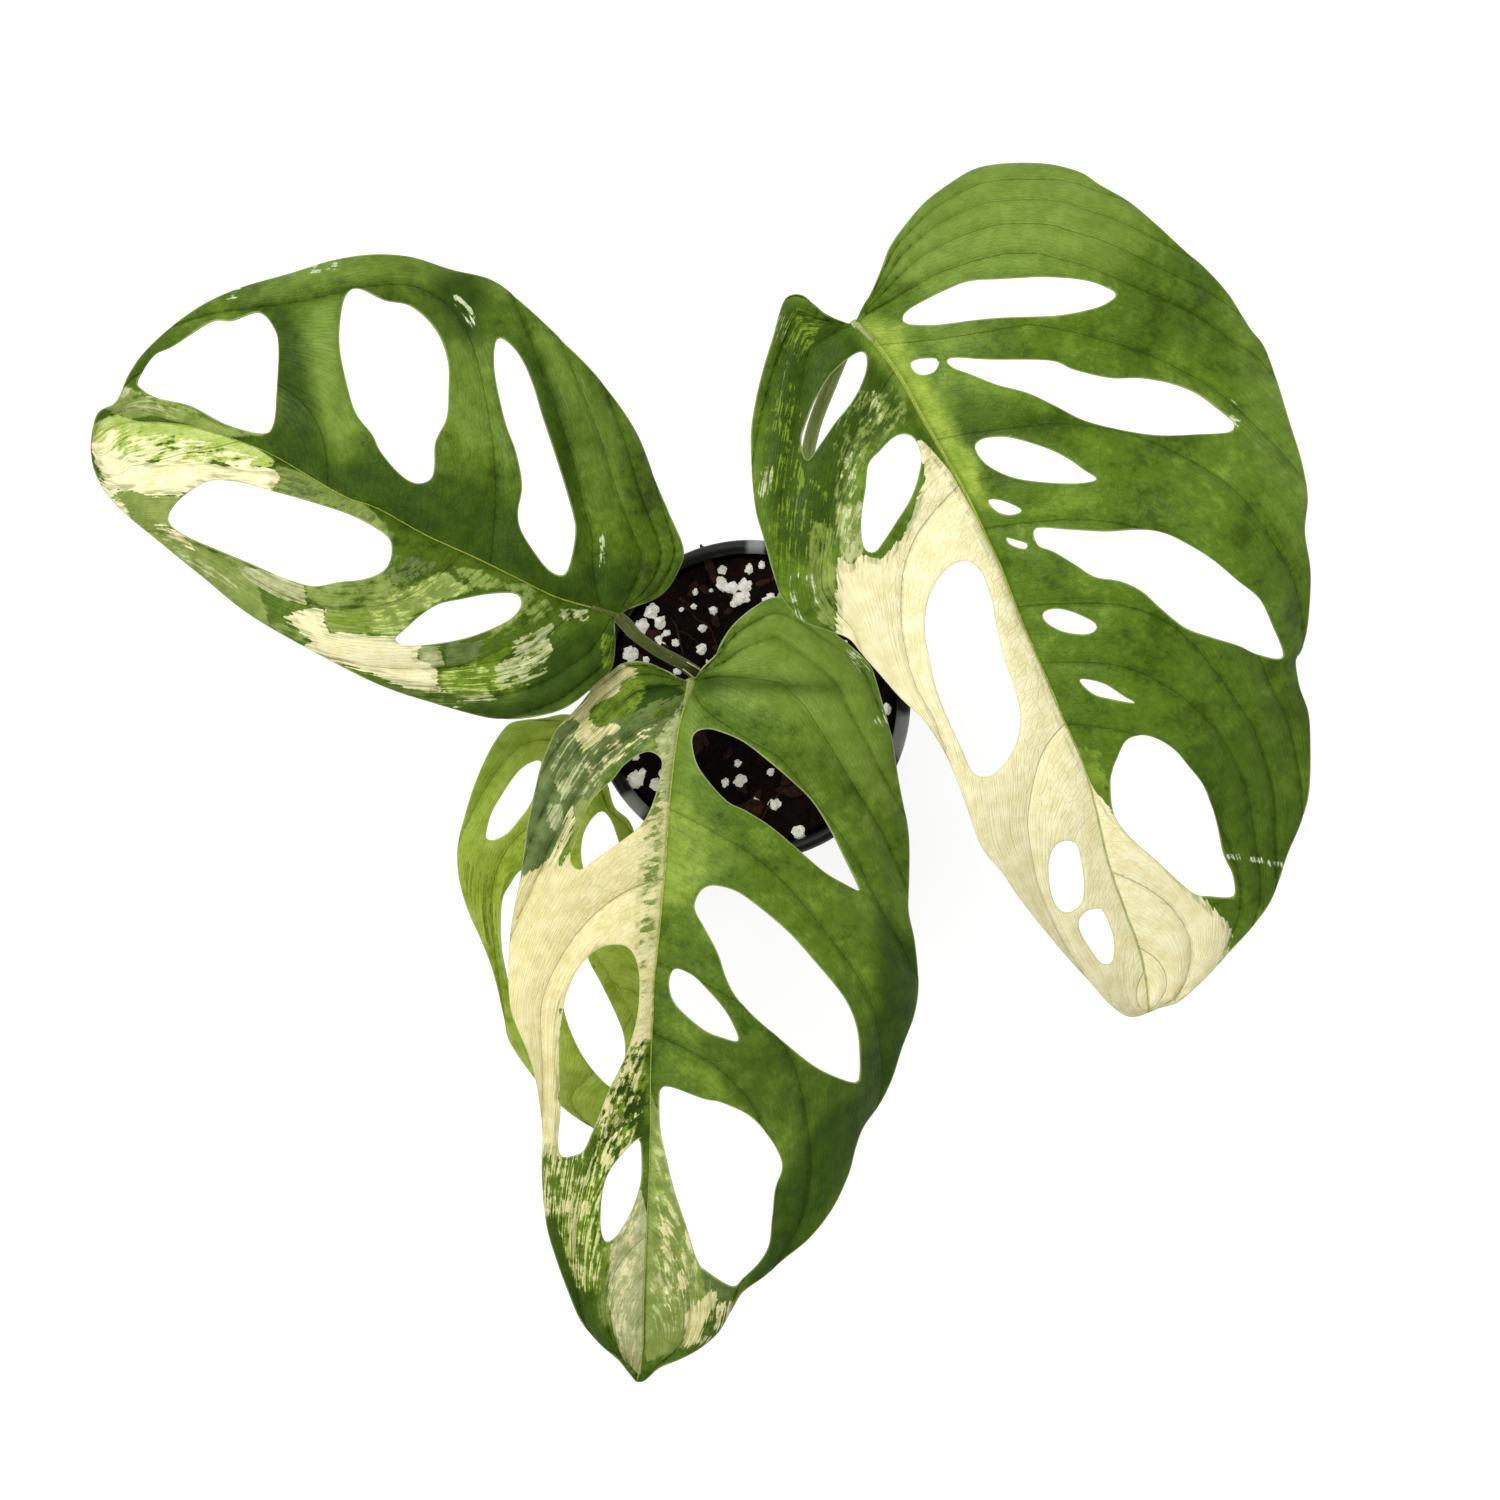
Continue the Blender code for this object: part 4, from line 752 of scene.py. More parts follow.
# The large form of the blades, with the same figures as the solids
CREASE_SOFTNESS = 0.0012
WAVE_REACH = 0.03
WAVE_LIMIT = 1.5
WAVE_SHIFT = 1.3

# Steps between the points of a blade's plan, its edge and its midrib
BLADE_STEP = 0.0009
EDGE_STEP = 0.0008
RIB_STEP = 0.0010

# The blade's thickness, and its rim: thinner, and curled down
BLADE_THICKNESS = 0.0005
RIM_THICKNESS = 0.00024
RIM_INSET = 0.0003
RIM_CLEAR = 0.8
RIM_CURL = 0.00018
RIM_CURL_WIDTH = 0.0010
BLADE_SHARP = 50

# The midrib: rows of points beside it, the groove on top and the ridge below. The groove fades and
# the ridge tapers towards the tip. The ridge begins at a share of the blade's length.
RIB_ROWS = (0.00035, 0.0008, 0.0014)
RIB_GROOVE = 0.00045
RIB_GROOVE_WIDTH = 0.0006
RIB_GROOVE_FADE = 0.6
RIB_DEPTH = 0.0009
RIB_HALF_WIDTH = 0.0011
RIB_TAPER = 0.7
RIB_START = 0.11
RIB_BEGIN = 0.05

# How the lateral veins run: forward from the midrib, and bending on towards the tip.
# The lean at the base and at the tip, for each leaf.
VEIN_LEANS = {
    "leaf_left": (0.3, 2.2),
    "leaf_right": (0.3, 1.0),
    "leaf_front": (0.35, 1.1),
    "leaf_low": (0.3, 1.0),
}
LEAN_CHANGE = (0.45, 1.0)
VEIN_SWEEP = 0.27
BASE_SWEEP = 0.020

# The swelling between two veins, as a share of the way between them, and a slow ripple
QUILT_SHARE = 0.075
QUILT_LIMIT = 20.0
QUILT_START = 0.005
RIPPLE_HEIGHT = 0.00035
RIPPLE_SIZE = 0.010
RIPPLE_SEED = 3.0

# Depths in mm that count as deep inside a solid patch, inside a streaky one, and far outside
SOLID_REACH = 2.0
FILL_REACH = 0.30
FAR_OUT = -8.0

# What keeps a division from running into nothing, and the least width of a half blade in metres
TINY = 1e-12
LEAST_WIDTH = 1e-6

# The degree of the curve that a calmed midrib follows
CALM_DEGREE = 4


@dataclass
class Place:
    """Where points of a blade lie: side is 1 or -1, along runs from base to tip, the rest in metres."""
    away: np.ndarray
    side: np.ndarray
    along: np.ndarray
    walked: np.ndarray


def midrib(leaf):
    """A leaf's midrib as a smooth curve in plan."""
    return smooth_curve(from_sheet(leaf.midrib), RIB_STEP)


def place_on(leaf, xy):
    """Where points lie against a leaf's midrib."""
    rib = midrib(leaf)
    away, side, _ = nearest_on(rib, xy)
    walked = nearest_on(calm_curve(rib), xy)[2]
    axis = rib[-1] - rib[0]
    along = ((xy - rib[0]) @ axis) / (axis @ axis)
    return Place(away, side, along, walked)


def nearest_on(rib, xy):
    """Distance from a midrib, side of it, and the length walked along it, less than 0 behind it."""
    start = rib[:-1]
    run = rib[1:] - start
    lengths = np.linalg.norm(run, axis=1)
    offset = xy[:, None, :] - start[None]
    share = np.clip((offset * run).sum(2) / lengths ** 2, 0.0, 1.0)
    gaps = np.linalg.norm(offset - share[..., None] * run, axis=2)
    nearest = gaps.argmin(axis=1)
    rows = np.arange(len(xy))
    near_run = run[nearest]
    near_offset = offset[rows, nearest]
    turn = near_run[:, 0] * near_offset[:, 1] - near_run[:, 1] * near_offset[:, 0]
    length = walked_along(rib)[nearest] + share[rows, nearest] * lengths[nearest]
    from_base = offset[:, 0]
    back = -(from_base @ run[0]) / (np.linalg.norm(from_base, axis=1) * lengths[0] + TINY)
    behind = (nearest == 0) & (back > 0)
    length = np.where(behind, -BASE_SWEEP * np.arcsin(np.clip(back, 0.0, 1.0)), length)
    return gaps[rows, nearest], np.where(turn >= 0, 1.0, -1.0), length


def calm_curve(path):
    """A path without its small bends."""
    share = np.linspace(0.0, 1.0, len(path))
    return np.column_stack([np.polyval(np.polyfit(share, path[:, k], CALM_DEGREE), share)
                            for k in (0, 1)])


def blade_height(leaf, place):
    """Height of a blade's middle surface, as its solid has it."""
    soft = np.sqrt(place.away ** 2 + CREASE_SOFTNESS ** 2) - CREASE_SOFTNESS
    height = smooth_steps(leaf.ridge, place.along)
    height += leaf.slope * soft - soft ** 2 / (2 * leaf.sag)
    height += leaf.roll * place.side * soft
    reach = np.minimum(place.away / WAVE_REACH, WAVE_LIMIT) ** 2
    turns = 2 * math.pi * leaf.wave_count * place.along
    return height + leaf.wave * reach * np.sin(turns + WAVE_SHIFT * place.side)


def vein_flow(leaf, place, margin):
    """A coordinate in mm that stays the same along each lateral vein."""
    share = place.away / (place.away + margin + LEAST_WIDTH)
    length = walked_along(from_sheet(leaf.midrib))[-1]
    low, high = VEIN_LEANS[leaf.name]
    change = np.clip((place.along - LEAN_CHANGE[0]) / (LEAN_CHANGE[1] - LEAN_CHANGE[0]), 0.0, 1.0)
    lean = low + (high - low) * change ** 2 * (3 - 2 * change)
    return (place.walked - lean * place.away - VEIN_SWEEP * length * share ** 3) / MM


def vein_phase(leaf, flow, side):
    """Whole numbers on the lateral veins and parts between them, and the mm from vein to vein."""
    phase = np.zeros(len(flow))
    pitch = np.zeros(len(flow))
    for half, veins in zip((-1.0, 1.0), VEINS[leaf.name]):
        here = side == half
        steps = np.diff(veins)
        span = np.clip(np.searchsorted(veins, flow[here]) - 1, 0, len(steps) - 1)
        pitch[here] = steps[span]
        phase[here] = span + (flow[here] - np.array(veins)[span]) / steps[span]
    return phase, pitch


def depth_into(outline, xy):
    """How far points lie inside a patch drawn on the sheet, in mm, and less than 0 outside it."""
    loop = from_sheet(outline)
    run = np.roll(loop, -1, axis=0) - loop
    offset = xy[:, None, :] - loop[None]
    share = np.clip((offset * run).sum(2) / ((run ** 2).sum(1) + TINY), 0.0, 1.0)
    gap = np.linalg.norm(offset - share[..., None] * run, axis=2).min(axis=1) / MM
    return np.where(inside_loop(loop, xy), gap, -gap)


def layer_depths(leaf, xy):
    """The depth into a leaf's patches of each layer, held down where they are streaky."""
    depths = {layer: np.full(len(xy), FAR_OUT) for layer in LAYERS}
    for outline, fills in MARKINGS[leaf.name]:
        depth = depth_into(outline, xy)
        for layer, fill in fills.items():
            blend = LAYERS[layer].blend
            limit = SOLID_REACH + blend if fill >= 1.0 else max(FILL_REACH, blend) * (2 * fill - 1)
            depths[layer] = np.maximum(depths[layer], np.minimum(depth, limit))
    return depths


def point_normals(points, triangles):
    """Unit normals at the points of a surface of triangles."""
    a, b, c = (points[triangles[:, k]] for k in range(3))
    face = np.cross(b - a, c - a)
    normals = np.zeros_like(points)
    for k in range(3):
        np.add.at(normals, triangles[:, k], face)
    return unit(normals)


def rib_rows(leaf, loops):
    """Rows of points along the midrib that carry its groove."""
    rib = midrib(leaf)[1:-1]
    across = left_of(np.gradient(rib, axis=0))
    rows = np.vstack([rib] + [rib + across * way * gap for gap in RIB_ROWS for way in (-1, 1)])
    return clear_of(rows[on_blade(loops, rows)], np.vstack(loops), 2 * RIM_INSET)


def blade_plan(leaf, loops):
    """The plan of a blade in triangles, with rows of points inside its rims and along its midrib."""
    rims = np.vstack([inset(loop, 1 if number == 0 else -1, RIM_INSET)
                      for number, loop in enumerate(loops)])
    rims = clear_of(rims[on_blade(loops, rims)], np.vstack(loops), RIM_CLEAR * RIM_INSET)
    rows = clear_of(rib_rows(leaf, loops), rims, RIM_INSET)
    return plan_mesh(loops, np.vstack([rims, rows]), BLADE_STEP)


def blade_relief(xy, place, border, phase, pitch):
    """The fine relief of a blade: quilting between the veins, ripples, curled rims and the groove."""
    to_vein = 2 * np.abs(phase - np.round(phase))
    swell = to_vein * (2 - to_vein) * np.minimum(place.away / QUILT_START, 1.0)
    relief = QUILT_SHARE * np.minimum(pitch, QUILT_LIMIT) * MM * (swell - 0.5)
    relief += RIPPLE_HEIGHT * np.array([noise_at(x, y, RIPPLE_SIZE, RIPPLE_SEED) for x, y in xy])
    relief -= RIM_CURL * np.exp(-border / RIM_CURL_WIDTH)
    fade = 1 - RIB_GROOVE_FADE * np.clip(place.along, 0, 1)
    return relief - RIB_GROOVE * np.exp(-(place.away / RIB_GROOVE_WIDTH) ** 2) * fade


def rib_ridge(place):
    """How far the midrib stands out under a blade."""
    begin = np.clip((place.along - RIB_START) / RIB_BEGIN, 0.0, 1.0)
    taper = begin * (1.0 - RIB_TAPER * np.clip(place.along, 0.0, 1.0))
    return RIB_DEPTH * taper * np.clip(1.0 - place.away / RIB_HALF_WIDTH, 0.0, 1.0)


def two_sided(triangles, count):
    """Faces for a sheet with a top and an underside, joined along its borders."""
    borders = {(a, b) for tri in triangles.tolist() for a, b in zip(tri, tri[1:] + tri[:1])}
    faces = triangles.tolist() + (triangles[:, ::-1] + count).tolist()
    return faces + [(b, a, a + count, b + count) for a, b in sorted(borders) if (b, a) not in borders]


def make_blade(leaf):
    """A leaf blade with veins, quilting and thin rims, its two faces split alike."""
    loops = [smooth_curve(from_sheet(loop), EDGE_STEP, closed=True) for loop in [leaf.outline] + leaf.holes]
    xy, triangles = blade_plan(leaf, loops)
    place = place_on(leaf, xy)
    border = gaps_to(xy, np.vstack(loops))
    flow = vein_flow(leaf, place, gaps_to(xy, loops[0]))
    phase, pitch = vein_phase(leaf, flow, place.side)
    height = blade_height(leaf, place) + blade_relief(xy, place, border, phase, pitch)
    middle = np.column_stack([xy, height])
    normals = point_normals(middle, triangles)
    full = np.clip(border / RIM_INSET, 0.0, 1.0)
    half = (RIM_THICKNESS + (BLADE_THICKNESS - RIM_THICKNESS) * full) / 2
    top = middle + normals * half[:, None]
    under = middle - normals * (half + rib_ridge(place))[:, None]
    both = {
        "flow": flow,
        "reach": place.away * place.side / MM,
        "along": place.along,
        "walked": place.walked / MM,
        "phase": phase,
        "pitch": pitch,
        "rim": 1.0 - full,
        **layer_depths(leaf, xy),
    }
    values = {key: np.tile(value, 2) for key, value in both.items()}
    values["under"] = np.repeat([0.0, 1.0], len(xy))
    blade = mesh_object(leaf.name + "_blade", np.vstack([top, under]), two_sided(triangles, len(xy)),
                        values, blade_look(leaf.name), BLADE_SHARP)
    dress(blade, leaf.name)


def paint(code):
    """A colour written as #rrggbb, as the linear values that a shader takes."""
    parts = [int(code[k:k + 2], 16) / 255 for k in (1, 3, 5)]
    linear = [p / 12.92 if p <= 0.04045 else ((p + 0.055) / 1.055) ** 2.4 for p in parts]
    return (*linear, 1.0)


class Look:
    """A material whose node graph is built from short expressions."""

    def __init__(self, name, roughness=0.5, specular=0.3):
        self.material = bpy.data.materials.new(name)
        self.material.use_nodes = True
        self.tree = self.material.node_tree
        self.surface = self.tree.nodes["Principled BSDF"]
        self.surface.inputs["Roughness"].default_value = roughness
        self.surface.inputs["Specular IOR Level"].default_value = specular
        self.here = self.node("ShaderNodeTexCoord").outputs["Object"]

    def node(self, kind, inputs=(), **settings):
        """Add a node; an input is a socket to link, a #colour or a plain value."""
        made = self.tree.nodes.new(kind)
        for key, value in settings.items():
            setattr(made, key, value)
        for key, value in dict(inputs).items():
            if isinstance(value, bpy.types.NodeSocket):
                self.tree.links.new(value, made.inputs[key])
            else:
                made.inputs[key].default_value = paint(value) if isinstance(value, str) else value
        return made

    def calc(self, operation, *values):
        """The result of one sum."""
        return self.node("ShaderNodeMath", enumerate(values), operation=operation).outputs[0]

    def times(self, value, factor):
        """A value times a factor."""
        return self.calc("MULTIPLY", value, factor)

    def plus(self, start, value, weight):
        """A start value plus a weighted one."""
        return self.calc("MULTIPLY_ADD", value, weight, start)

    def sway(self, start, pattern, weight):
        """A start value, moved by how far a pattern is from its middle, 0.5."""
        return self.plus(start, self.calc("SUBTRACT", pattern, 0.5), weight)

    def attribute(self, name):
        """A value stored at the mesh's points."""
        return self.node("ShaderNodeAttribute", attribute_name=name).outputs["Fac"]

    def at(self, x, y, z=0.0):
        """A place made of three values."""
        return self.node("ShaderNodeCombineXYZ", {0: x, 1: y, 2: z}).outputs[0]

    def noise(self, scale, detail=3.0, roughness=0.55, place=None):
        """Noise about 0.5, at a place or in the object's own metres."""
        return self.node("ShaderNodeTexNoise", {
            "Vector": place or self.here, "Scale": scale, "Detail": detail,
            "Roughness": roughness}).outputs["Fac"]

    def cells(self, scale):
        """Distances in a pattern of cells in the object's own metres."""
        return self.node("ShaderNodeTexVoronoi", {"Vector": self.here, "Scale": scale}).outputs["Distance"]

    def flat_cells(self, x, y, output, feature="F1"):
        """A flat pattern of cells over two values."""
        return self.node("ShaderNodeTexVoronoi", {"Vector": self.at(x, y), "Scale": 1.0},
                         feature=feature, voronoi_dimensions="2D").outputs[output]

    def fade(self, value, start, end, low=0.0, high=1.0):
        """A smooth change from low to high as a value goes from start to end."""
        return self.node("ShaderNodeMapRange", {0: value, 1: start, 2: end, 3: low, 4: high},
                         interpolation_type="SMOOTHSTEP").outputs[0]

    def blend(self, share, low, high):
        """A blend of two values."""
        return self.plus(low, share, self.calc("SUBTRACT", high, low))

    def mix(self, share, low, high):
        """A blend of two colours."""
        return self.node("ShaderNodeMix", {0: share, 6: low, 7: high}, data_type="RGBA").outputs[2]

    def finish(self, color, roughness=None, height=None, depth=0.0001):
        """Link the colour, roughness and relief to the surface."""
        self.tree.links.new(color, self.surface.inputs["Base Color"])
        if roughness is not None:
            self.tree.links.new(roughness, self.surface.inputs["Roughness"])
        if height is not None:
            bump = self.node("ShaderNodeBump", {"Height": height, "Distance": depth, "Strength": 1.0})
            self.tree.links.new(bump.outputs[0], self.surface.inputs["Normal"])
        return self.material


# The lines of the skin: the mm from a line's middle between which it fades out, and its relief
LINES = {
    "valley": (0.0, 2.4, -1.0),
    "vein": (0.05, 0.18, -1.0),
    "fine": (0.03, 0.12, -0.12),
    "net": (0.0, 0.12, -0.30),
}
BLOTCH_RELIEF = 1.2

# How strongly the lines are coloured. The veins show more on cream than on green.
VEIN_SHARE = 0.20
VEIN_ON_CREAM = 0.22
FINE_SHARE = 0.03
NET_SHARE = 0.08

# Cells per mm along and across the veins, in the net and in the blocks that borders follow
NET_CELLS = (0.75, 0.5)
BLOCK_CELLS = (0.9, 0.42)

# The green's tone: where it starts, how far each pattern moves it, the painted shade in the valleys and
# near the midrib, and the tones between which it goes from dark to middle and on to light
TONE_START = 0.55
TONE_SWAY = {"broad": 1.6, "blotch": 1.5, "mottle": 0.7, "streak": 0.22}
VALLEY_PAINTED_SHADE = -0.16
RIB_PAINTED_SHADE_REACH = (0.5, 7.0)
NEAR_RIB_PAINTED_SHADE = -0.12
DARK_TO_MIDDLE = (0.0, 0.55)
MIDDLE_TO_LIGHT = (0.5, 1.1)

# How far each pattern moves a patch's border, in mm, and the same for the layer's own grain
BORDER_SWAY = {"mottle": 0.595, "blocks": 0.51, "blotch": 1.105}
GRAIN_SWAY = 1.7

# The grains that the layers share in turn: each noise's scale, detail and roughness, with the
# veins and nearly with the midrib, and the share of a blade's length where one gives way to the other
GRAIN_KINDS = 3
GRAIN_GAP = 7.0
VEIN_GRAIN = (0.9, 3, 0.52)
RIB_GRAIN = (0.8, 3, 0.55)
GRAIN_ACROSS = 0.34
GRAIN_ALONG = 0.24
GRAIN_SLANT = 0.45
TIP_GRAIN = (0.46, 0.54)

# Where the two tones of a layer change over, and how far the first grain moves that
TINT_CHANGE = (0.3, 0.7)
TINT_SWAY = 0.12

# The layers that thin out into flecks: the grain over which they do, how much is left there, and
# the depths in mm over which they become solid
FLECKED = ("pale", "cream")
FLECK_GRAIN = (0.36, 0.6)
FLECK_LEFT = 0.45
SOLID_DEPTHS = (0.5, 1.6)

# Beside the midrib the borders are crisp, from the first distance in mm to the second
RIB_CRISP = (0.5, 3.2)
CRISP_WANDER = 0.08

# The midrib in half widths: the painted shade beside it and its own tone fade out, each with its share
RIB_SHADE = (1.2, 3.4)
RIB_SHADE_SHARE = 0.30
RIB_LINE = (0.75, 1.25)
RIB_LINE_SHARE = 0.75
RIB_NARROW = 0.8
RIM_SHARE = 0.6
UNDER_SHARE = 0.45

# Tones of the veins in the cream, the midrib, the rim and the underside
CREAM_VEIN = "#a3935a"
RIB_TONE = "#b4c25a"
RIM_TONE = "#b9c286"
UNDER_TONE = "#8fa252"


class Skin(Look):
    """A leaf's skin: green with coloured patches, veins, a pale midrib and fine relief."""

    def __init__(self, name):
        super().__init__("look_" + name, specular=0.11)
        self.flow = self.attribute("flow")
        self.reach = self.attribute("reach")
        self.away = self.calc("ABSOLUTE", self.reach)
        self.along = self.attribute("along")
        self.under = self.attribute("under")
        self.grains = self.make_grains()
        self.lines = self.make_lines()
        self.patterns = {
            "broad": self.noise(70, 2),
            "mottle": self.noise(900, 3, 0.6),
            "blotch": self.noise(300, 4, 0.6),
            "streak": self.grains[0],
            "blocks": self.vein_cells(BLOCK_CELLS, "Color"),
        }

    def vein_cells(self, cells, output, feature="F1"):
        """A pattern of cells that lie along the veins."""
        along, across = cells
        return self.flat_cells(self.times(self.flow, along), self.times(self.reach, across),
                               output, feature)

    def make_lines(self):
        """How strongly each kind of line shows, 1 at its middle."""
        phase = self.attribute("phase")
        pitch = self.attribute("pitch")
        gap = self.times(self.calc("PINGPONG", phase, 0.5), pitch)
        gaps = {
            "valley": gap,
            "vein": gap,
            "fine": self.calc("PINGPONG", self.times(self.times(phase, pitch), 0.5), 0.5),
            "net": self.vein_cells(NET_CELLS, "Distance", "DISTANCE_TO_EDGE"),
        }
        return {name: self.fade(gaps[name], start, end, 1.0, 0.0)
                for name, (start, end, _) in LINES.items()}

    def make_grains(self):
        """Patterns that run with the veins, and near the tip nearly with the midrib."""
        tip = self.fade(self.along, *TIP_GRAIN)
        slant = self.plus(self.times(self.away, -1.0), self.flow, GRAIN_SLANT)
        walked = self.times(self.attribute("walked"), GRAIN_ALONG)
        across = self.times(self.reach, GRAIN_ACROSS)
        grains = []
        for number in range(GRAIN_KINDS):
            layer = GRAIN_GAP * number
            with_veins = self.noise(*VEIN_GRAIN, self.at(self.flow, across, layer))
            with_rib = self.noise(*RIB_GRAIN, self.at(slant, walked, layer))
            grains.append(self.blend(tip, with_veins, with_rib))
        return grains

    def green(self, dark, middle, light):
        """The uneven green under the patches, with painted shade in the valleys and near the midrib."""
        tone = TONE_START
        for pattern, weight in TONE_SWAY.items():
            tone = self.sway(tone, self.patterns[pattern], weight)
        # painted shade: darker green in the vein valleys and beside the midrib
        tone = self.plus(tone, self.lines["valley"], VALLEY_PAINTED_SHADE)
        tone = self.plus(tone, self.fade(self.away, *RIB_PAINTED_SHADE_REACH, 1.0, 0.0), NEAR_RIB_PAINTED_SHADE)
        color = self.mix(self.fade(tone, *DARK_TO_MIDDLE), dark, middle)
        return self.mix(self.fade(tone, *MIDDLE_TO_LIGHT), color, light)

    def patches(self, color, shaded_cream_tones):
        """The patches laid over the green: the colour, and how much of it is cream."""
        border = 0.0
        for pattern, weight in BORDER_SWAY.items():
            border = self.sway(border, self.patterns[pattern], weight)
        loose = self.fade(self.away, *RIB_CRISP, CRISP_WANDER, 1.0)
        tint_share = self.fade(self.sway(self.patterns["blotch"], self.grains[0], TINT_SWAY), *TINT_CHANGE)
        for number, (layer, tint) in enumerate(LAYERS.items()):
            depth = self.attribute(layer)
            wander = self.sway(border, self.grains[number % GRAIN_KINDS], GRAIN_SWAY)
            wander = self.plus(depth, wander, self.times(loose, tint.wander))
            mask = self.fade(wander, -tint.blend, tint.blend)
            if layer in FLECKED:
                mask = self.times(mask, self.flecks(self.grains[(number + 1) % GRAIN_KINDS], depth, loose))
            low, high = tint.low, tint.high
            if layer == "cream":
                cream = mask
                # painted shade: a darker cream for a leaf that has one
                low, high = shaded_cream_tones or (low, high)
            color = self.mix(mask, color, self.mix(tint_share, low, high))
        return color, cream

    def flecks(self, grain, depth, loose):
        """How much of a layer is left between its flecks: all of it where it is deep or by the midrib."""
        thin = self.fade(grain, *FLECK_GRAIN, FLECK_LEFT, 1.0)
        solid = self.calc("MAXIMUM", self.fade(depth, *SOLID_DEPTHS), self.calc("SUBTRACT", 1.0, loose))
        return self.calc("MAXIMUM", thin, solid)

    def tinted(self, color, pattern, share, tone):
        """The colour with a tone over it, where a pattern is."""
        return self.mix(self.times(pattern, share), color, tone)

    def veined(self, color, dark, cream):
        """The colour with its lateral, fine and netted veins."""
        tone = self.mix(cream, dark, CREAM_VEIN)
        color = self.tinted(color, self.lines["vein"], self.plus(VEIN_SHARE, cream, VEIN_ON_CREAM), tone)
        color = self.tinted(color, self.lines["fine"], FINE_SHARE, tone)
        return self.tinted(color, self.lines["net"], NET_SHARE, tone)

    def edged(self, color, dark, rib_widths):
        """The colour with the midrib and the painted shade beside it, the pale rim and the duller underside.
        """
        from_rib = self.calc("DIVIDE", self.away, self.fade(self.along, 0.0, RIB_NARROW, *rib_widths))
        # painted shade: darker green beside the midrib
        color = self.tinted(color, self.fade(from_rib, *RIB_SHADE, 1.0, 0.0), RIB_SHADE_SHARE, dark)
        color = self.tinted(color, self.fade(from_rib, *RIB_LINE, 1.0, 0.0), RIB_LINE_SHARE, RIB_TONE)
        color = self.tinted(color, self.attribute("rim"), RIM_SHARE, RIM_TONE)
        return self.tinted(color, self.under, UNDER_SHARE, UNDER_TONE)

    def relief(self):
        """Valleys, veins and the blotchy swelling between them."""
        height = 0.0
        for name, (_, _, depth) in LINES.items():
            height = self.plus(height, self.lines[name], depth)
        return self.plus(height, self.patterns["blotch"], BLOTCH_RELIEF)


# A skin's roughness from pattern to pattern, how much rougher it is below, and its relief in metres
SKIN_ROUGHNESS = (0.34, 0.48)
UNDER_ROUGHER = 0.18
SKIN_RELIEF = 0.00018


def blade_look(name):
    """The skin of one leaf."""
    dark, middle, light, rib_widths = LEAF_TONES[name]
    skin = Skin(name)
    color, cream = skin.patches(skin.green(dark, middle, light), SHADED_CREAM_TONES.get(name))
    color = skin.edged(skin.veined(color, dark, cream), dark, rib_widths)
    roughness = skin.fade(skin.patterns["mottle"], 0.25, 0.75, *SKIN_ROUGHNESS)
    return skin.finish(color, skin.plus(roughness, skin.under, UNDER_ROUGHER), skin.relief(), SKIN_RELIEF)


def stalk_look(name, dark, light, fleck, roughness=0.4):
    """A stem's or petiole's skin: long fine streaks, flecks and soft relief."""
    look = Look(name)
    length = look.attribute("length")
    streak = look.noise(1.0, 3, 0.6, look.at(look.times(look.attribute("around"), 9.0),
                                             look.times(length, 0.12)))
    spots = look.noise(1500, 2)
    color = look.mix(look.fade(streak, 0.35, 0.65), dark, light)
    color = look.mix(look.fade(spots, 0.60, 0.72, 0.0, 0.6), color, fleck)
    rings = look.fade(look.noise(1.0, 2, 0.5, look.at(0.0, look.times(length, 0.5))), 0.4, 0.7)
    color = look.mix(look.times(rings, 0.25), color, dark)
    gloss = look.fade(spots, 0.3, 0.7, roughness - 0.06, roughness + 0.12)
    return look.finish(color, gloss, streak, 0.00012)


def wing_look():
    """A membrane: pale green, drying to straw at its edge."""
    look = Look("look_wings", specular=0.25)
    blotch = look.noise(700, 3)
    color = look.mix(look.fade(blotch, 0.35, 0.65), "#5e6a2c", "#8a9350")
    dry = look.plus(look.attribute("edge"), blotch, 0.4)
    color = look.mix(look.fade(dry, 0.75, 1.15), color, "#c9bd8a")
    return look.finish(color, look.fade(blotch, 0.3, 0.7, 0.4, 0.6), blotch, 0.00015)


def soil_look():
    """Damp potting mix, nearly black, with brown crumbs."""
    look = Look("look_soil", specular=0.12)
    crumbs = look.cells(900)
    brown = look.noise(300, 4, 0.6)
    color = look.mix(look.fade(brown, 0.48, 0.72), "#0c0505", "#32150f")
    color = look.mix(look.fade(crumbs, 0.15, 0.6, 0.0, 0.6), color, "#120807")
    height = look.plus(look.noise(2200, 3), crumbs, 0.6)
    return look.finish(color, look.fade(brown, 0.3, 0.7, 0.55, 0.95), height, 0.0006)


def glow(look, color, strength):
    """Let a pale surface give off a little light, as one lit from all sides does."""
    look.surface.inputs["Emission Color"].default_value = (*color, 1.0)
    look.surface.inputs["Emission Strength"].default_value = strength


def perlite_look():
    """White perlite, faintly stained, with small pores; it gives off a little light, which is painted light.
    """
    look = Look("look_perlite", specular=0.2)
    # painted light: the grains glow a little so that they stay bright under the leaves
    glow(look, (1.0, 0.97, 0.94), 0.16)
    stain = look.noise(500, 3)
    pores = look.cells(3000)
    color = look.mix(look.fade(stain, 0.35, 0.6), "#e6dad0", "#fffcf8")
    color = look.mix(look.fade(pores, 0.0, 0.2, 0.3, 0.0), color, "#a08c7c")
    return look.finish(color, look.fade(stain, 0.3, 0.7, 0.75, 0.95), pores, 0.0002)


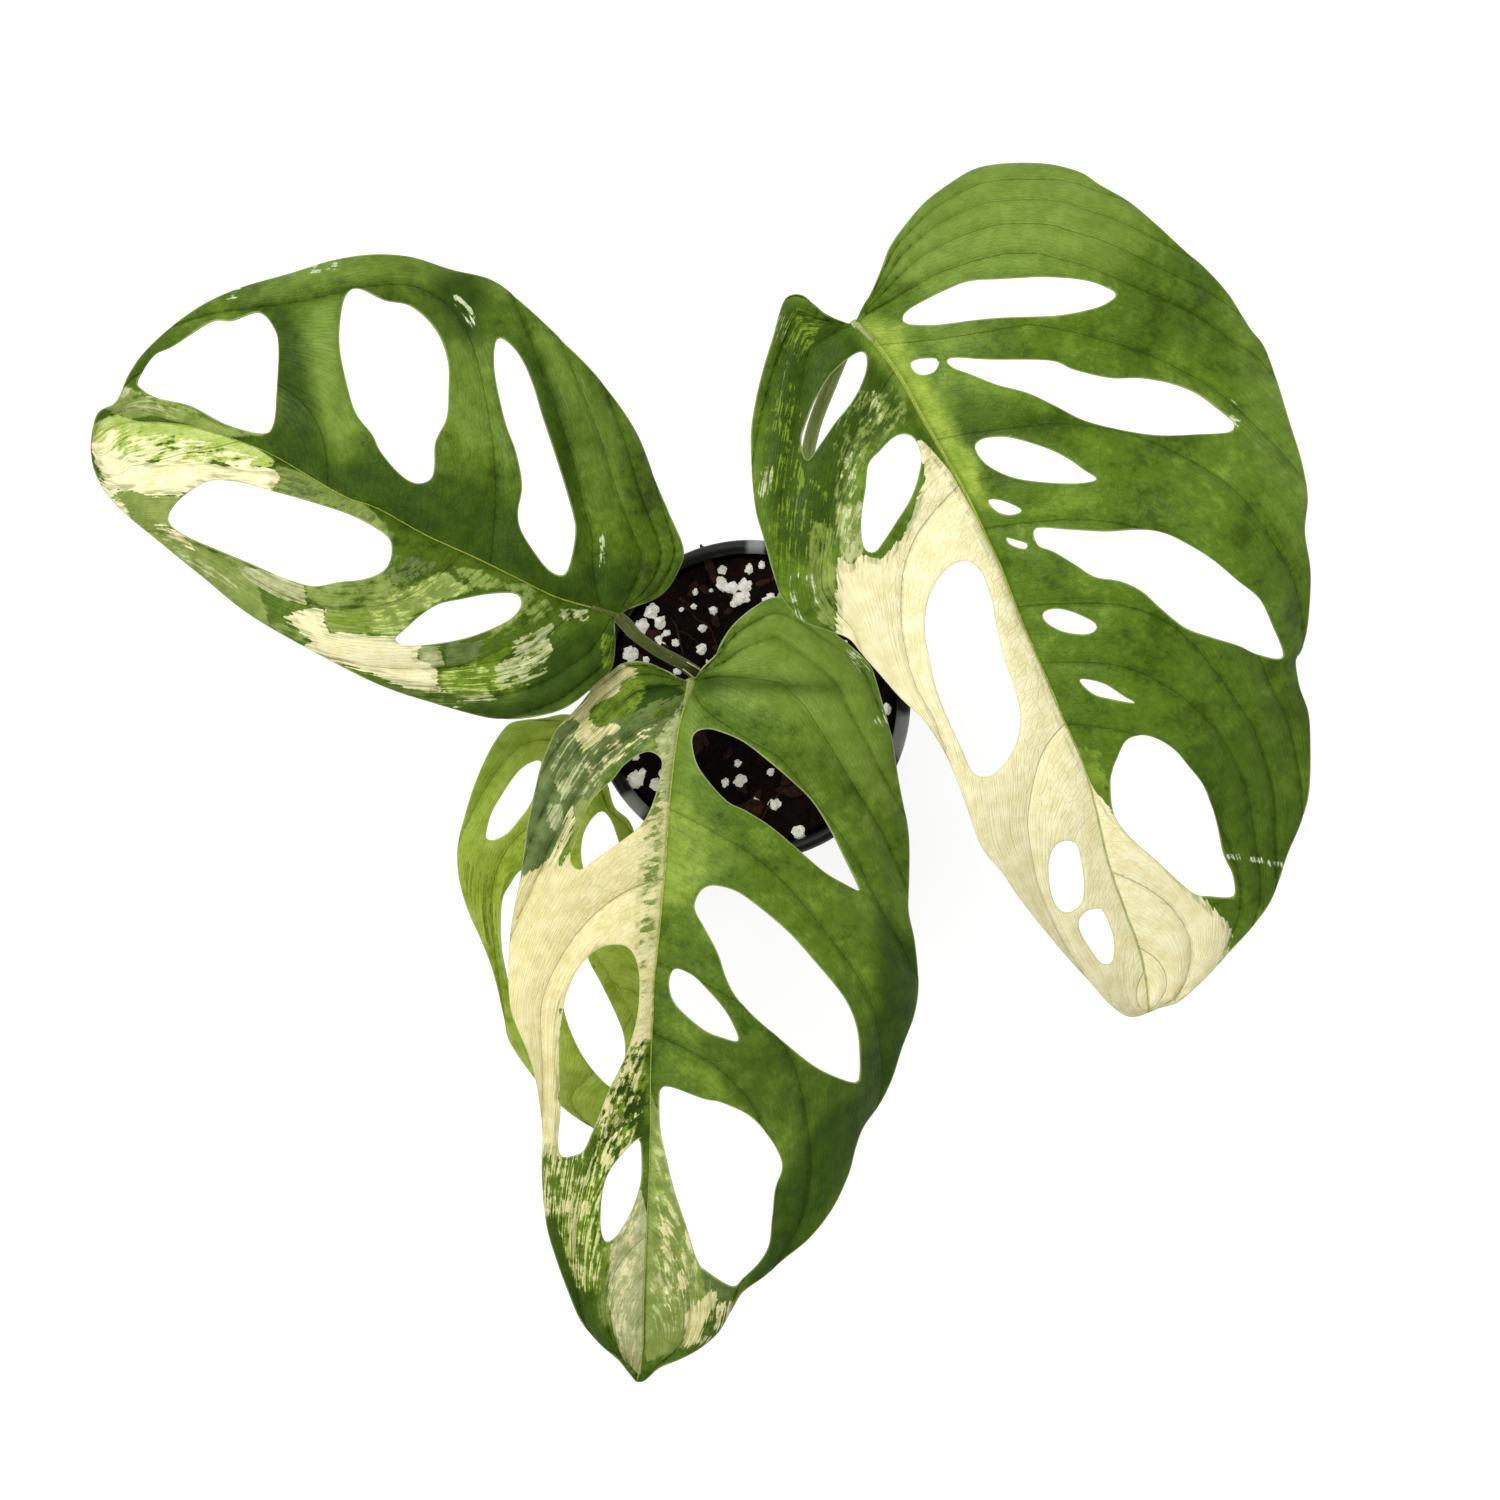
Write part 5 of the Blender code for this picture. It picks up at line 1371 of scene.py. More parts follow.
def bark_look(name, dark, light):
    """Wood and root fibres: grainy browns."""
    look = Look(name, specular=0.2)
    grain = look.noise(700, 4, 0.65)
    color = look.mix(look.fade(grain, 0.35, 0.7), dark, light)
    return look.finish(color, look.fade(grain, 0.3, 0.7, 0.6, 0.9), grain, 0.0003)


def plastic_look():
    """Black moulded plastic with fine scratches, a little dust and painted highlights on the rim."""
    look = Look("look_pot")
    dust = look.noise(260, 5, 0.65)
    color = look.mix(look.fade(dust, 0.55, 0.8), "#0a0a0b", "#221f1e")
    # painted highlight: pale grey on the rim, its edge broken up by the dust
    painted_highlight = look.calc("ADD", look.attribute("painted_highlight"), look.times(dust, 0.5))
    color = look.mix(look.fade(painted_highlight, 0.8, 1.3, 0.0, 0.55), color, "#b9b9bd")
    return look.finish(color, look.fade(dust, 0.35, 0.75, 0.38, 0.48), look.noise(5200, 2), 0.00002)


def floor_look():
    """A plain, nearly white floor with a trace of unevenness."""
    look = Look("look_floor", roughness=0.9, specular=0.0)
    glow(look, (1.0, 1.0, 1.0), 0.78)
    return look.finish(look.mix(look.noise(6.0), "#a6a6a6", "#adadad"))


TUBE_SIDES = 24
TUBE_SHARP = 50

# A path that begins this steeply takes its first side from the way of y, not of z
STEEP = 0.9


def tube_faces(first, rings, sides):
    """The sides and both caps of a tube whose points come ring by ring, from the first point on."""
    faces = []
    for ring in range(rings - 1):
        base = first + ring * sides
        for k in range(sides):
            after = (k + 1) % sides
            faces.append((base + k, base + after, base + sides + after, base + sides + k))
    last = first + (rings - 1) * sides
    faces.append(tuple(range(first, first + sides))[::-1])
    faces.append(tuple(range(last, last + sides)))
    return faces


def make_tube(name, path, radii, look):
    """A round tube along a path, its length and turn stored at its points."""
    forward = unit(np.gradient(path, axis=0))
    side = np.cross(forward[0], (0.0, 0.0, 1.0) if abs(forward[0][2]) < STEEP else (0.0, 1.0, 0.0))
    angles = 2 * math.pi * np.arange(TUBE_SIDES) / TUBE_SIDES
    points = []
    for centre, ahead, radius in zip(path, forward, radii):
        side = side - ahead * (side @ ahead)
        side /= np.linalg.norm(side)
        up = np.cross(side, ahead)
        points.append(centre + radius * (np.outer(np.cos(angles), side) + np.outer(np.sin(angles), up)))
    values = {
        "around": np.tile(np.cos(angles) + 2 * np.sin(angles), len(path)),
        "length": np.repeat(walked_along(path), TUBE_SIDES) / MM,
    }
    return mesh_object(name, np.vstack(points), tube_faces(0, len(path), TUBE_SIDES), values, look,
                       TUBE_SHARP)


# What is left of the radius at the very ends of a tube, squared
END_LEFT = 1e-4


def rounded_ends(radii, walked):
    """Radii that close smoothly at both ends of a path."""
    start = np.clip(walked / radii[0], 0.0, 1.0)
    end = np.clip((walked[-1] - walked) / radii[-1], 0.0, 1.0)
    return radii * np.sqrt(1 - (1 - start) ** 2 + END_LEFT) * np.sqrt(1 - (1 - end) ** 2 + END_LEFT)


def bump_at(values, middle, spread):
    """A smooth bump, 1 high, over values about a middle."""
    return np.exp(-((values - middle) / spread) ** 2)


# The stem, with its nodes by height, each a swelling over a scar line
STEM_STEP = 0.0005
STEM_RADIUS = 0.0023
STEM_NODES = (0.060, 0.067, 0.074, 0.082)
STEM_NODE_SWELL = 0.0005
STEM_NODE_SPREAD = 0.0016
SCAR_DEPTH = 0.00022
SCAR_DROP = 0.0012
SCAR_SPREAD = 0.0003


def make_stem():
    """The short upright stem with a swelling and a scar line at each node."""
    path = smooth_curve(from_sheet(STEM_WAY), STEM_STEP)
    radii = np.full(len(path), STEM_RADIUS)
    for height in STEM_NODES:
        radii += STEM_NODE_SWELL * bump_at(path[:, 2], height, STEM_NODE_SPREAD)
        radii -= SCAR_DEPTH * bump_at(path[:, 2], height - SCAR_DROP, SCAR_SPREAD)
    look = stalk_look("look_stem", "#5f7434", "#8a9a50", "#b7b98a")
    dress(make_tube("stem_skin", path, rounded_ends(radii, walked_along(path)), look), "stem")


# The sheath thins towards its tip, at first slowly
SHEATH_RADIUS = 0.0012
SHEATH_TAPER = 0.0009
SHEATH_CURVE = 1.5
SHEATH_ROUGHNESS = 0.55


def make_sheath():
    """The pointed sheath at the growing tip."""
    path = smooth_curve(from_sheet(SHEATH_WAY), STEM_STEP)
    share = np.linspace(0.0, 1.0, len(path)) ** SHEATH_CURVE
    radii = rounded_ends(SHEATH_RADIUS - SHEATH_TAPER * share, walked_along(path))
    look = stalk_look("look_sheath", "#c9ab84", "#e6d2ae", "#8a6f4c", SHEATH_ROUGHNESS)
    dress(make_tube("sheath_skin", path, radii, look), "sheath")


# A petiole narrows from its foot, swells at the knee and ends in a tail under the blade
PETIOLE_STEP = 0.0006
FOOT_LENGTH = 0.012
KNEE_SWELL = 0.0002
KNEE_SPREAD = 0.0022
KNEE_BEFORE_TAIL = 0.003
TAIL_START = 0.0008
TAIL_LENGTH = 0.006
TAIL_RADIUS = 0.0008
CAD_BLADE_HALF = 0.00035


def petiole_tail(petiole):
    """The end of a petiole, which lies along the underside of the blade's midrib."""
    rib = smooth_curve(from_sheet(petiole.leaf.midrib), STEM_STEP)
    places = np.array([TAIL_START, TAIL_LENGTH / 2, TAIL_LENGTH])
    xy = np.column_stack([np.interp(places, walked_along(rib), rib[:, k]) for k in (0, 1)])
    radii = petiole.neck_radius + (TAIL_RADIUS - petiole.neck_radius) * places / TAIL_LENGTH
    under = blade_height(petiole.leaf, place_on(petiole.leaf, xy)) - CAD_BLADE_HALF
    return np.column_stack([xy, under - radii])


def petiole_shape(petiole):
    """A petiole's axis, its radii and the length walked along it."""
    path = smooth_curve(np.vstack([from_sheet(petiole.way), petiole_tail(petiole)]), PETIOLE_STEP)
    walked = walked_along(path)
    foot = petiole.foot_radius - petiole.neck_radius
    tail = np.clip((walked - (walked[-1] - TAIL_LENGTH)) / TAIL_LENGTH, 0.0, 1.0)
    radii = petiole.neck_radius + foot * np.exp(-walked / FOOT_LENGTH)
    return path, radii + (TAIL_RADIUS - petiole.neck_radius) * tail, walked


def make_petiole(petiole):
    """A petiole from its node on the stem to its tail under the blade."""
    path, radii, walked = petiole_shape(petiole)
    knee = walked[-1] - TAIL_LENGTH - KNEE_BEFORE_TAIL
    radii = rounded_ends(radii + KNEE_SWELL * bump_at(walked, knee, KNEE_SPREAD), walked)
    look = stalk_look("look_" + petiole.name, *STALK_TONES[petiole.name])
    dress(make_tube(petiole.name + "_skin", path, radii, look), petiole.name)


# The thin wings along the upper side of a petiole's foot: their length and height in mm
WINGS = {
    "petiole_left": (13.0, 1.7),
    "petiole_right": (16.0, 1.6),
    "petiole_front": (7.0, 1.2),
    "petiole_low": (7.0, 1.0),
}
WING_ROWS = 6
WING_THICKNESS = 0.00024
WING_START = 0.0028
WING_SINK = 0.0002
WING_SPLAY = math.radians(52)
WING_OPENING = 0.5

# A wing is at its full height after a sixth of its length, and its edge is a little ragged
WING_RISE = 6
WING_RAGGED = 0.25
WING_RAGGED_SIZE = 0.0018

# A trace of the upward way, so that a wing of no height has a side too
WING_LEAST = 1e-9


# How high each row of a wing's points lies, as a share of the wing
ROW_SHARES = np.linspace(0.0, 1.0, WING_ROWS)


def leaning(way, angle, side, up):
    """The direction at an angle over the one or the other side of a petiole."""
    return way * math.cos(angle) * side + math.sin(angle) * up


def wing_ring(foot, rise, way, forward, side, up):
    """The points of one wing in rows, up its one face and down the other."""
    rows = []
    for share in ROW_SHARES:
        lean = leaning(way, WING_SPLAY + WING_OPENING * share, side, up)
        rows.append(foot + (rise * share)[:, None] * lean)
    across = way * unit(np.cross(rows[1] - rows[0] + WING_LEAST * up, forward)) * WING_THICKNESS / 2
    rows = np.array(rows)
    return np.concatenate([rows + across, rows[::-1] - across])


def wing_faces(first, count, way):
    """The faces of one wing, whose points come row by row round it."""
    rows = 2 * WING_ROWS
    faces = []
    for k in range(rows):
        row, after = first + k * count, first + (k + 1) % rows * count
        for n in range(count - 1):
            faces.append((row + n, after + n, after + n + 1, row + n + 1)[::way])
    faces.append(tuple(first + k * count for k in range(rows))[::-way])
    faces.append(tuple(first + (k + 1) * count - 1 for k in range(rows))[::way])
    return faces


def make_wings(petiole, look):
    """The membranes that edge the channel on a petiole's foot, thin and a little ragged."""
    length, height = (value * MM for value in WINGS[petiole.name])
    path, radii, walked = petiole_shape(petiole)
    used = (walked > WING_START) & (walked < WING_START + length)
    forward = unit(np.gradient(path, axis=0)[used])
    side = unit(np.cross(forward, (0.0, 0.0, 1.0)))
    up = np.cross(side, forward)
    share = (walked[used] - WING_START) / length
    rise = height * np.minimum(1.0, WING_RISE * share) * np.sqrt(np.clip(1.0 - share ** 3, 0.0, 1.0))
    points, faces = [], []
    for way in (-1, 1):
        ragged = np.array([1 + WING_RAGGED * noise.noise(Vector((3.0 * way, w / WING_RAGGED_SIZE, 1.0)))
                           for w in walked[used]])
        foot = path[used] + (radii[used] - WING_SINK)[:, None] * leaning(way, WING_SPLAY, side, up)
        faces += wing_faces(len(points) * 2 * WING_ROWS * len(share), len(share), way)
        points.append(wing_ring(foot, rise * ragged, way, forward, side, up))
    edge = np.tile(np.repeat(np.concatenate([ROW_SHARES, ROW_SHARES[::-1]]), len(share)), 2)
    made = mesh_object(petiole.name + "_wings", np.concatenate(points).reshape(-1, 3), faces,
                       {"edge": edge}, look)
    add_on(made)


# The pot, turned about its axis: rim with a rolled bead, collar, wall, foot and floor
POT_HEIGHT = 0.058
POT_RIM_RADIUS = 0.0325
POT_BEAD_RADIUS = 0.0014
POT_COLLAR_RADIUS = 0.0312
POT_COLLAR_HEIGHT = 0.009
POT_SHOULDER = POT_HEIGHT - POT_COLLAR_HEIGHT
POT_BASE_RADIUS = 0.0235
POT_WALL = 0.0012
POT_FLOOR = 0.0015
POT_FOOT_BEVEL = 0.0012
POT_STEP = 0.0012
POT_SEGMENTS = 160
POT_SHARP = 35

# The bead's arc in degrees, and how far its inner side reaches down, in bead radii
BEAD_START = -80
BEAD_TURN = 260
BEAD_STEPS = 24
BEAD_DEPTH = 2.4

# How the wall bends out under the collar: inside the collar's radius, and above the shoulder
WALL_END = 0.0006
SHOULDER_BENDS = ((POT_STEP, -WALL_END), (0.0008, -0.0001), (0.0003, 0.0002))
FOOT_ROUND = 0.3

# The drain holes in the floor
DRAIN_COUNT = 6
DRAIN_RADIUS = 0.003
DRAIN_CIRCLE = 0.0185
DRAIN_TURN = 0.31
DRAIN_SIDES = 32

# Places round the rim with a painted highlight, pale grey in the black: direction and half spread in degrees
PAINTED_HIGHLIGHT_PLACES = ((88, 5), (-13, 11), (222, 7))
PAINTED_HIGHLIGHT_DEPTH = 0.0016


def pot_inner_radius(height):
    """Radius of the pot's inner wall at a height."""
    share = np.clip((height - POT_FLOOR) / (POT_SHOULDER - POT_FLOOR), 0.0, 1.0)
    return POT_BASE_RADIUS + (POT_COLLAR_RADIUS - POT_STEP - POT_BASE_RADIUS) * share - POT_WALL


def turned(name, profile, segments):
    """An object turned about Z from a profile of (radius, height) that starts and ends on the axis."""
    bm = bmesh.new()
    rings = []
    for radius, height in profile:
        angles = [2 * math.pi * k / segments for k in range(segments if radius else 1)]
        rings.append([bm.verts.new((radius * math.cos(a), radius * math.sin(a), height))
                      for a in angles])
    for one, two in zip(rings, rings[1:]):
        for k in range(segments):
            after = k + 1
            corners = [one[k % len(one)], one[after % len(one)], two[after % len(two)], two[k % len(two)]]
            bm.faces.new(list(dict.fromkeys(corners)))
    bmesh.ops.recalc_face_normals(bm, faces=bm.faces[:])
    mesh = bpy.data.meshes.new(name)
    bm.to_mesh(mesh)
    bm.free()
    return in_scene(name, mesh)


def rim_painted_highlight(place):
    """How strongly a point of the pot shows the rim's painted highlight, from 0 to 1."""
    if place.z < POT_HEIGHT - PAINTED_HIGHLIGHT_DEPTH:
        return 0.0
    turn = math.degrees(math.atan2(place.y, place.x))
    gaps = [((turn - middle + 180) % 360 - 180) / spread for middle, spread in PAINTED_HIGHLIGHT_PLACES]
    return max(math.exp(-gap ** 4) for gap in gaps)


def pot_profile():
    """The pot's outline from the middle of its underside over the rim to the middle of its floor."""
    bead = []
    for step in range(BEAD_STEPS + 1):
        angle = math.radians(BEAD_START + BEAD_TURN * step / BEAD_STEPS)
        bead.append((POT_RIM_RADIUS - POT_BEAD_RADIUS + POT_BEAD_RADIUS * math.cos(angle),
                     POT_HEIGHT - POT_BEAD_RADIUS + POT_BEAD_RADIUS * math.sin(angle)))
    return [
        (0, 0),
        (POT_BASE_RADIUS - POT_FOOT_BEVEL, 0),
        (POT_BASE_RADIUS - FOOT_ROUND * POT_FOOT_BEVEL, FOOT_ROUND * POT_FOOT_BEVEL),
        (POT_BASE_RADIUS, POT_FOOT_BEVEL),
        *[(POT_COLLAR_RADIUS - inside, POT_SHOULDER + above) for inside, above in SHOULDER_BENDS],
        *bead,
        (bead[-1][0], POT_HEIGHT - BEAD_DEPTH * POT_BEAD_RADIUS),
        (pot_inner_radius(POT_SHOULDER), POT_SHOULDER - WALL_END),
        (pot_inner_radius(POT_FLOOR), POT_FLOOR),
        (0, POT_FLOOR),
    ]


def drill_drains(pot):
    """Cut the drain holes, and give the pot the cut mesh."""
    drills = []
    ends = 2 * POT_FLOOR
    for number in range(DRAIN_COUNT):
        angle = 2 * math.pi * (number + DRAIN_TURN) / DRAIN_COUNT
        drill = turned("drill_%d" % number, [(0, -ends), (DRAIN_RADIUS, -ends), (DRAIN_RADIUS, ends),
                                             (0, ends)], DRAIN_SIDES)
        drill.location = (DRAIN_CIRCLE * math.cos(angle), DRAIN_CIRCLE * math.sin(angle), 0)
        cut = pot.modifiers.new(drill.name, "BOOLEAN")
        cut.operation = "DIFFERENCE"
        cut.object = drill
        drills.append(drill)
    bpy.context.view_layer.update()
    shape = bpy.data.meshes.new_from_object(pot.evaluated_get(bpy.context.evaluated_depsgraph_get()))
    pot.modifiers.clear()
    pot.data = shape
    for drill in drills:
        bpy.data.objects.remove(drill, do_unlink=True)


def make_pot():
    """The nursery pot: tapered wall, collar, rolled rim and drain holes."""
    pot = turned("pot_shell", pot_profile(), POT_SEGMENTS)
    drill_drains(pot)
    shape = pot.data
    shape.materials.clear()
    shape.materials.append(plastic_look())
    # where the rim gets its painted highlight
    painted_highlight = shape.attributes.new("painted_highlight", "FLOAT", "POINT")
    painted_highlight.data.foreach_set("value", [rim_painted_highlight(vertex.co) for vertex in shape.vertices])
    shape.shade_smooth()
    shape.set_sharp_from_angle(angle=math.radians(POT_SHARP))
    dress(pot, "pot")


# The potting mix: a low mound, with the height and size of its lumps, clods and crumbs
SOIL_TOP = 0.0539
SOIL_CROWN = 0.0014
SOIL_STEP = 0.0007
SOIL_GAP = 0.0003
SOIL_RADIUS = 0.0289
SOIL_SHARP = 60
LUMP_HEIGHT, LUMP_SIZE = 0.0007, 0.006
CLOD_HEIGHT, CLOD_SIZE = 0.0009, 0.0028
CRUMB_HEIGHT, CRUMB_SIZE = 0.0006, 0.0011

# Rough noise: how its finer layers fall off, how much finer each is, and how many there are
CLOD_NOISE = (1.0, 2.1, 3)


def soil_height(x, y):
    """Height of the potting mix: a low mound with coarse lumps and crumbs."""
    mound = SOIL_CROWN * (1 - (x * x + y * y) / POT_RIM_RADIUS ** 2)
    clods = noise.fractal(Vector((x / CLOD_SIZE, y / CLOD_SIZE, 5.0)), *CLOD_NOISE)
    return (SOIL_TOP + mound + LUMP_HEIGHT * noise_at(x, y, LUMP_SIZE, 2.0) + CLOD_HEIGHT * clods
            + CRUMB_HEIGHT * abs(noise_at(x, y, CRUMB_SIZE, 9.0)))


def make_soil():
    """The filling of potting mix, a rough top over a plain plug."""
    count = round(2 * math.pi * SOIL_RADIUS / SOIL_STEP)
    angles = 2 * math.pi * np.arange(count) / count
    circle = np.column_stack([np.cos(angles), np.sin(angles)])
    xy, triangles = plan_mesh([SOIL_RADIUS * circle], np.empty((0, 2)), SOIL_STEP)
    blocks = [np.column_stack([xy, [soil_height(x, y) for x, y in xy]])]
    for level, height in ((POT_SHOULDER, POT_SHOULDER - POT_WALL), (POT_FLOOR, POT_FLOOR + SOIL_GAP)):
        radius = pot_inner_radius(level) - SOIL_GAP
        blocks.append(np.column_stack([circle * radius, np.full(count, height)]))
    size = len(xy)
    faces = triangles.tolist()
    for k in range(count):
        after = (k + 1) % count
        faces.append((after, k, size + k, size + after))
        faces.append((size + after, size + k, size + count + k, size + count + after))
    faces.append(tuple(size + count + k for k in range(count))[::-1])
    made = mesh_object("soil_bed", np.vstack(blocks), faces, {}, soil_look(), SOIL_SHARP)
    dress(made, "soil")


# Lumps are balls of this detail, made irregular by noise of a grain to their radius
LUMP_DETAIL = 3
LUMP_SHARP = 45
LUMP_GRAIN = 1.7
LUMP_NOISE = (1.0, 2.0, 3)


def ball(detail):
    """Points and faces of a ball of even triangles, with radius 1."""
    bm = bmesh.new()
    bmesh.ops.create_icosphere(bm, subdivisions=detail, radius=1.0)
    points = np.array([v.co[:] for v in bm.verts])
    faces = np.array([[v.index for v in f.verts] for f in bm.faces])
    bm.free()
    return points, faces


def make_lumps(name, places, roughness, look):
    """Irregular lumps in one object. A place is (x, y, z, sizes, turn, seed)."""
    round_points, round_faces = ball(LUMP_DETAIL)
    points, faces = [], []
    for x, y, z, sizes, turn, seed in places:
        shift = Vector((seed, 0, 0))
        swell = [1 + roughness * noise.fractal(Vector(p) * LUMP_GRAIN + shift, *LUMP_NOISE)
                 for p in round_points]
        shaped = round_points * np.array(swell)[:, None] * np.array(sizes)
        rotated = shaped @ np.array(Euler(turn).to_matrix()).T
        faces.append(round_faces + len(round_points) * len(points))
        points.append(rotated + (x, y, z))
    made = mesh_object(name, np.vstack(points), np.vstack(faces).tolist(), {}, look, LUMP_SHARP)
    add_on(made)


# Perlite grains that show in the photo between the leaves: place on the sheet and width in mm
PERLITE_SHOWN = [
    (651, 610, 3.1), (641, 625, 3.3), (659, 621, 2.6), (666, 632, 1.6), (674, 641, 1.2),
    (660, 645, 2.0), (629, 653, 3.2), (722, 583, 2.9), (732, 586, 2.4), (745, 584, 3.0),
    (741, 596, 2.9), (722, 568, 1.6), (749, 567, 1.8), (762, 563, 1.6), (713, 609, 1.6),
    (693, 605, 1.1), (702, 627, 1.7), (701, 648, 2.2), (634, 780, 3.2), (655, 785, 2.4),
    (740, 781, 2.2), (725, 783, 1.6), (771, 772, 1.6), (756, 801, 1.6), (775, 805, 2.2),
    (799, 833, 2.4), (888, 708, 1.8),
]

# The small grains between them, by half their width in metres. Every grain lies a share of its
# half width high.
PERLITE_SEED = 11
PERLITE_SCATTERED = 60
PERLITE_SMALL = (0.00035, 0.0009)
PERLITE_UNEVEN = (0.8, 1.15)
PERLITE_LIFT = 0.35
PERLITE_ROUGHNESS = 0.45

# Bark chips: half their length in metres, width, thickness and height as shares of it, and their tilt
BARK_SEED = 23
BARK_COUNT = 80
BARK_LENGTH = (0.0012, 0.0026)
BARK_WIDTH = (0.3, 0.6)
BARK_THICKNESS = (0.15, 0.3)
BARK_TILT = (-0.5, 0.5)
BARK_LIFT = 0.1
BARK_ROUGHNESS = 0.5

# The long chip behind the stem: both ends on the sheet, and its width in mm
LONG_CHIP = ((702, 545), (715, 580), 1.7)
LONG_CHIP_SEED = 4.0

# Root fibres: radius in metres, length in steps and turn at each step. They lie a share of their
# radius high, arch up, thin towards their ends, and turn back at FIBRE_REACH from the axis.
FIBRE_SEED = 31
FIBRE_COUNT = 16
FIBRE_SIDES = 6
FIBRE_RADIUS = (0.00012, 0.00028)
FIBRE_STEPS = (10, 22)
FIBRE_STEP = 0.0007
FIBRE_TURN = (-0.35, 0.35)
FIBRE_LIFT = 0.6
FIBRE_ARCH = 0.0006
FIBRE_END = 0.25
FIBRE_REACH = 0.027

# Where scattered pieces may lie: on the mix, and clear of the stem
SCATTER_BOX = (-0.0285, 0.0285)
SCATTER_RADIUS = 0.0278
STEM_PLACE = (-0.0068, 0.0014)
STEM_CLEAR = 0.004

# The ranges from which the turns of scattered pieces and the seeds of their forms are drawn
FULL_TURN = (0, math.tau)
SEEDS = (0, 90)


def scatter(draw, count):
    """Seeded places over the soil, evenly dense, clear of the stem."""
    made = []
    while len(made) < count:
        place = [draw.uniform(*SCATTER_BOX) for _ in range(2)]
        if math.hypot(*place) < SCATTER_RADIUS and math.dist(place, STEM_PLACE) > STEM_CLEAR:
            made.append(place)
    return made


def make_perlite():
    """Perlite grains: those the photo shows, and small ones scattered between."""
    draw = random.Random(PERLITE_SEED)
    places = []
    for sheet_x, sheet_y, width in PERLITE_SHOWN:
        x, y = from_sheet([(sheet_x, sheet_y)])[0]
        places.append((x, y, width * MM / 2))
    places += [(x, y, draw.uniform(*PERLITE_SMALL)) for x, y in scatter(draw, PERLITE_SCATTERED)]
    grains = []
    for x, y, half in places:
        sizes = [half * draw.uniform(*PERLITE_UNEVEN) for _ in range(3)]
        turn = [draw.uniform(*FULL_TURN) for _ in range(3)]
        z = soil_height(x, y) + PERLITE_LIFT * half
        grains.append((x, y, z, sizes, turn, draw.uniform(*SEEDS)))
    make_lumps("perlite", grains, PERLITE_ROUGHNESS, perlite_look())


def make_bark():
    """Chips of bark pressed into the mix."""
    draw = random.Random(BARK_SEED)
    chips = []
    for x, y in scatter(draw, BARK_COUNT):
        length = draw.uniform(*BARK_LENGTH)
        sizes = [length, length * draw.uniform(*BARK_WIDTH), length * draw.uniform(*BARK_THICKNESS)]
        turn = [draw.uniform(*BARK_TILT), draw.uniform(*BARK_TILT), draw.uniform(*FULL_TURN)]
        z = soil_height(x, y) + BARK_LIFT * length
        chips.append((x, y, z, sizes, turn, draw.uniform(*SEEDS)))
    (x0, y0), (x1, y1) = from_sheet(LONG_CHIP[:2])
    x, y, width = (x0 + x1) / 2, (y0 + y1) / 2, LONG_CHIP[2] * MM
    sizes = [math.hypot(x1 - x0, y1 - y0) / 2, width / 2, width / 3]
    turn = [0.0, 0.0, math.atan2(y1 - y0, x1 - x0)]
    chips.append((x, y, soil_height(x, y) + width / 4, sizes, turn, LONG_CHIP_SEED))
    make_lumps("bark_chips", chips, BARK_ROUGHNESS, bark_look("look_bark", "#1a0c09", "#4a251a"))


def fibre_points(draw, x, y):
    """The points of one root fibre, ring by ring, wandering over the mix from a place."""
    heading = draw.uniform(*FULL_TURN)
    radius = draw.uniform(*FIBRE_RADIUS)
    steps = draw.randint(*FIBRE_STEPS)
    points = []
    for step in range(steps):
        arch = FIBRE_ARCH * math.sin(math.pi * step / (steps - 1))
        centre = Vector((x, y, soil_height(x, y) + FIBRE_LIFT * radius + arch))
        across = Vector((-math.sin(heading), math.cos(heading), 0))
        taper = radius * (FIBRE_END + (1 - FIBRE_END) * math.sin(math.pi * (step + 0.5) / steps))
        for k in range(FIBRE_SIDES):
            turn = math.tau * k / FIBRE_SIDES
            points.append(centre + taper * (math.cos(turn) * across + Vector((0, 0, math.sin(turn)))))
        heading += draw.uniform(*FIBRE_TURN)
        if math.hypot(x, y) > FIBRE_REACH:
            heading = math.atan2(-y, -x)
        x += FIBRE_STEP * math.cos(heading)
        y += FIBRE_STEP * math.sin(heading)
    return points


def make_fibres():
    """Thin reddish root fibres lying on the mix."""
    draw = random.Random(FIBRE_SEED)
    points, faces = [], []
    for x, y in scatter(draw, FIBRE_COUNT):
        fibre = fibre_points(draw, x, y)
        faces += tube_faces(len(points), len(fibre) // FIBRE_SIDES, FIBRE_SIDES)
        points += fibre
    look = bark_look("look_fibres", "#24100b", "#4f2a1e")
    add_on(mesh_object("root_fibres", np.array(points), faces, {}, look))


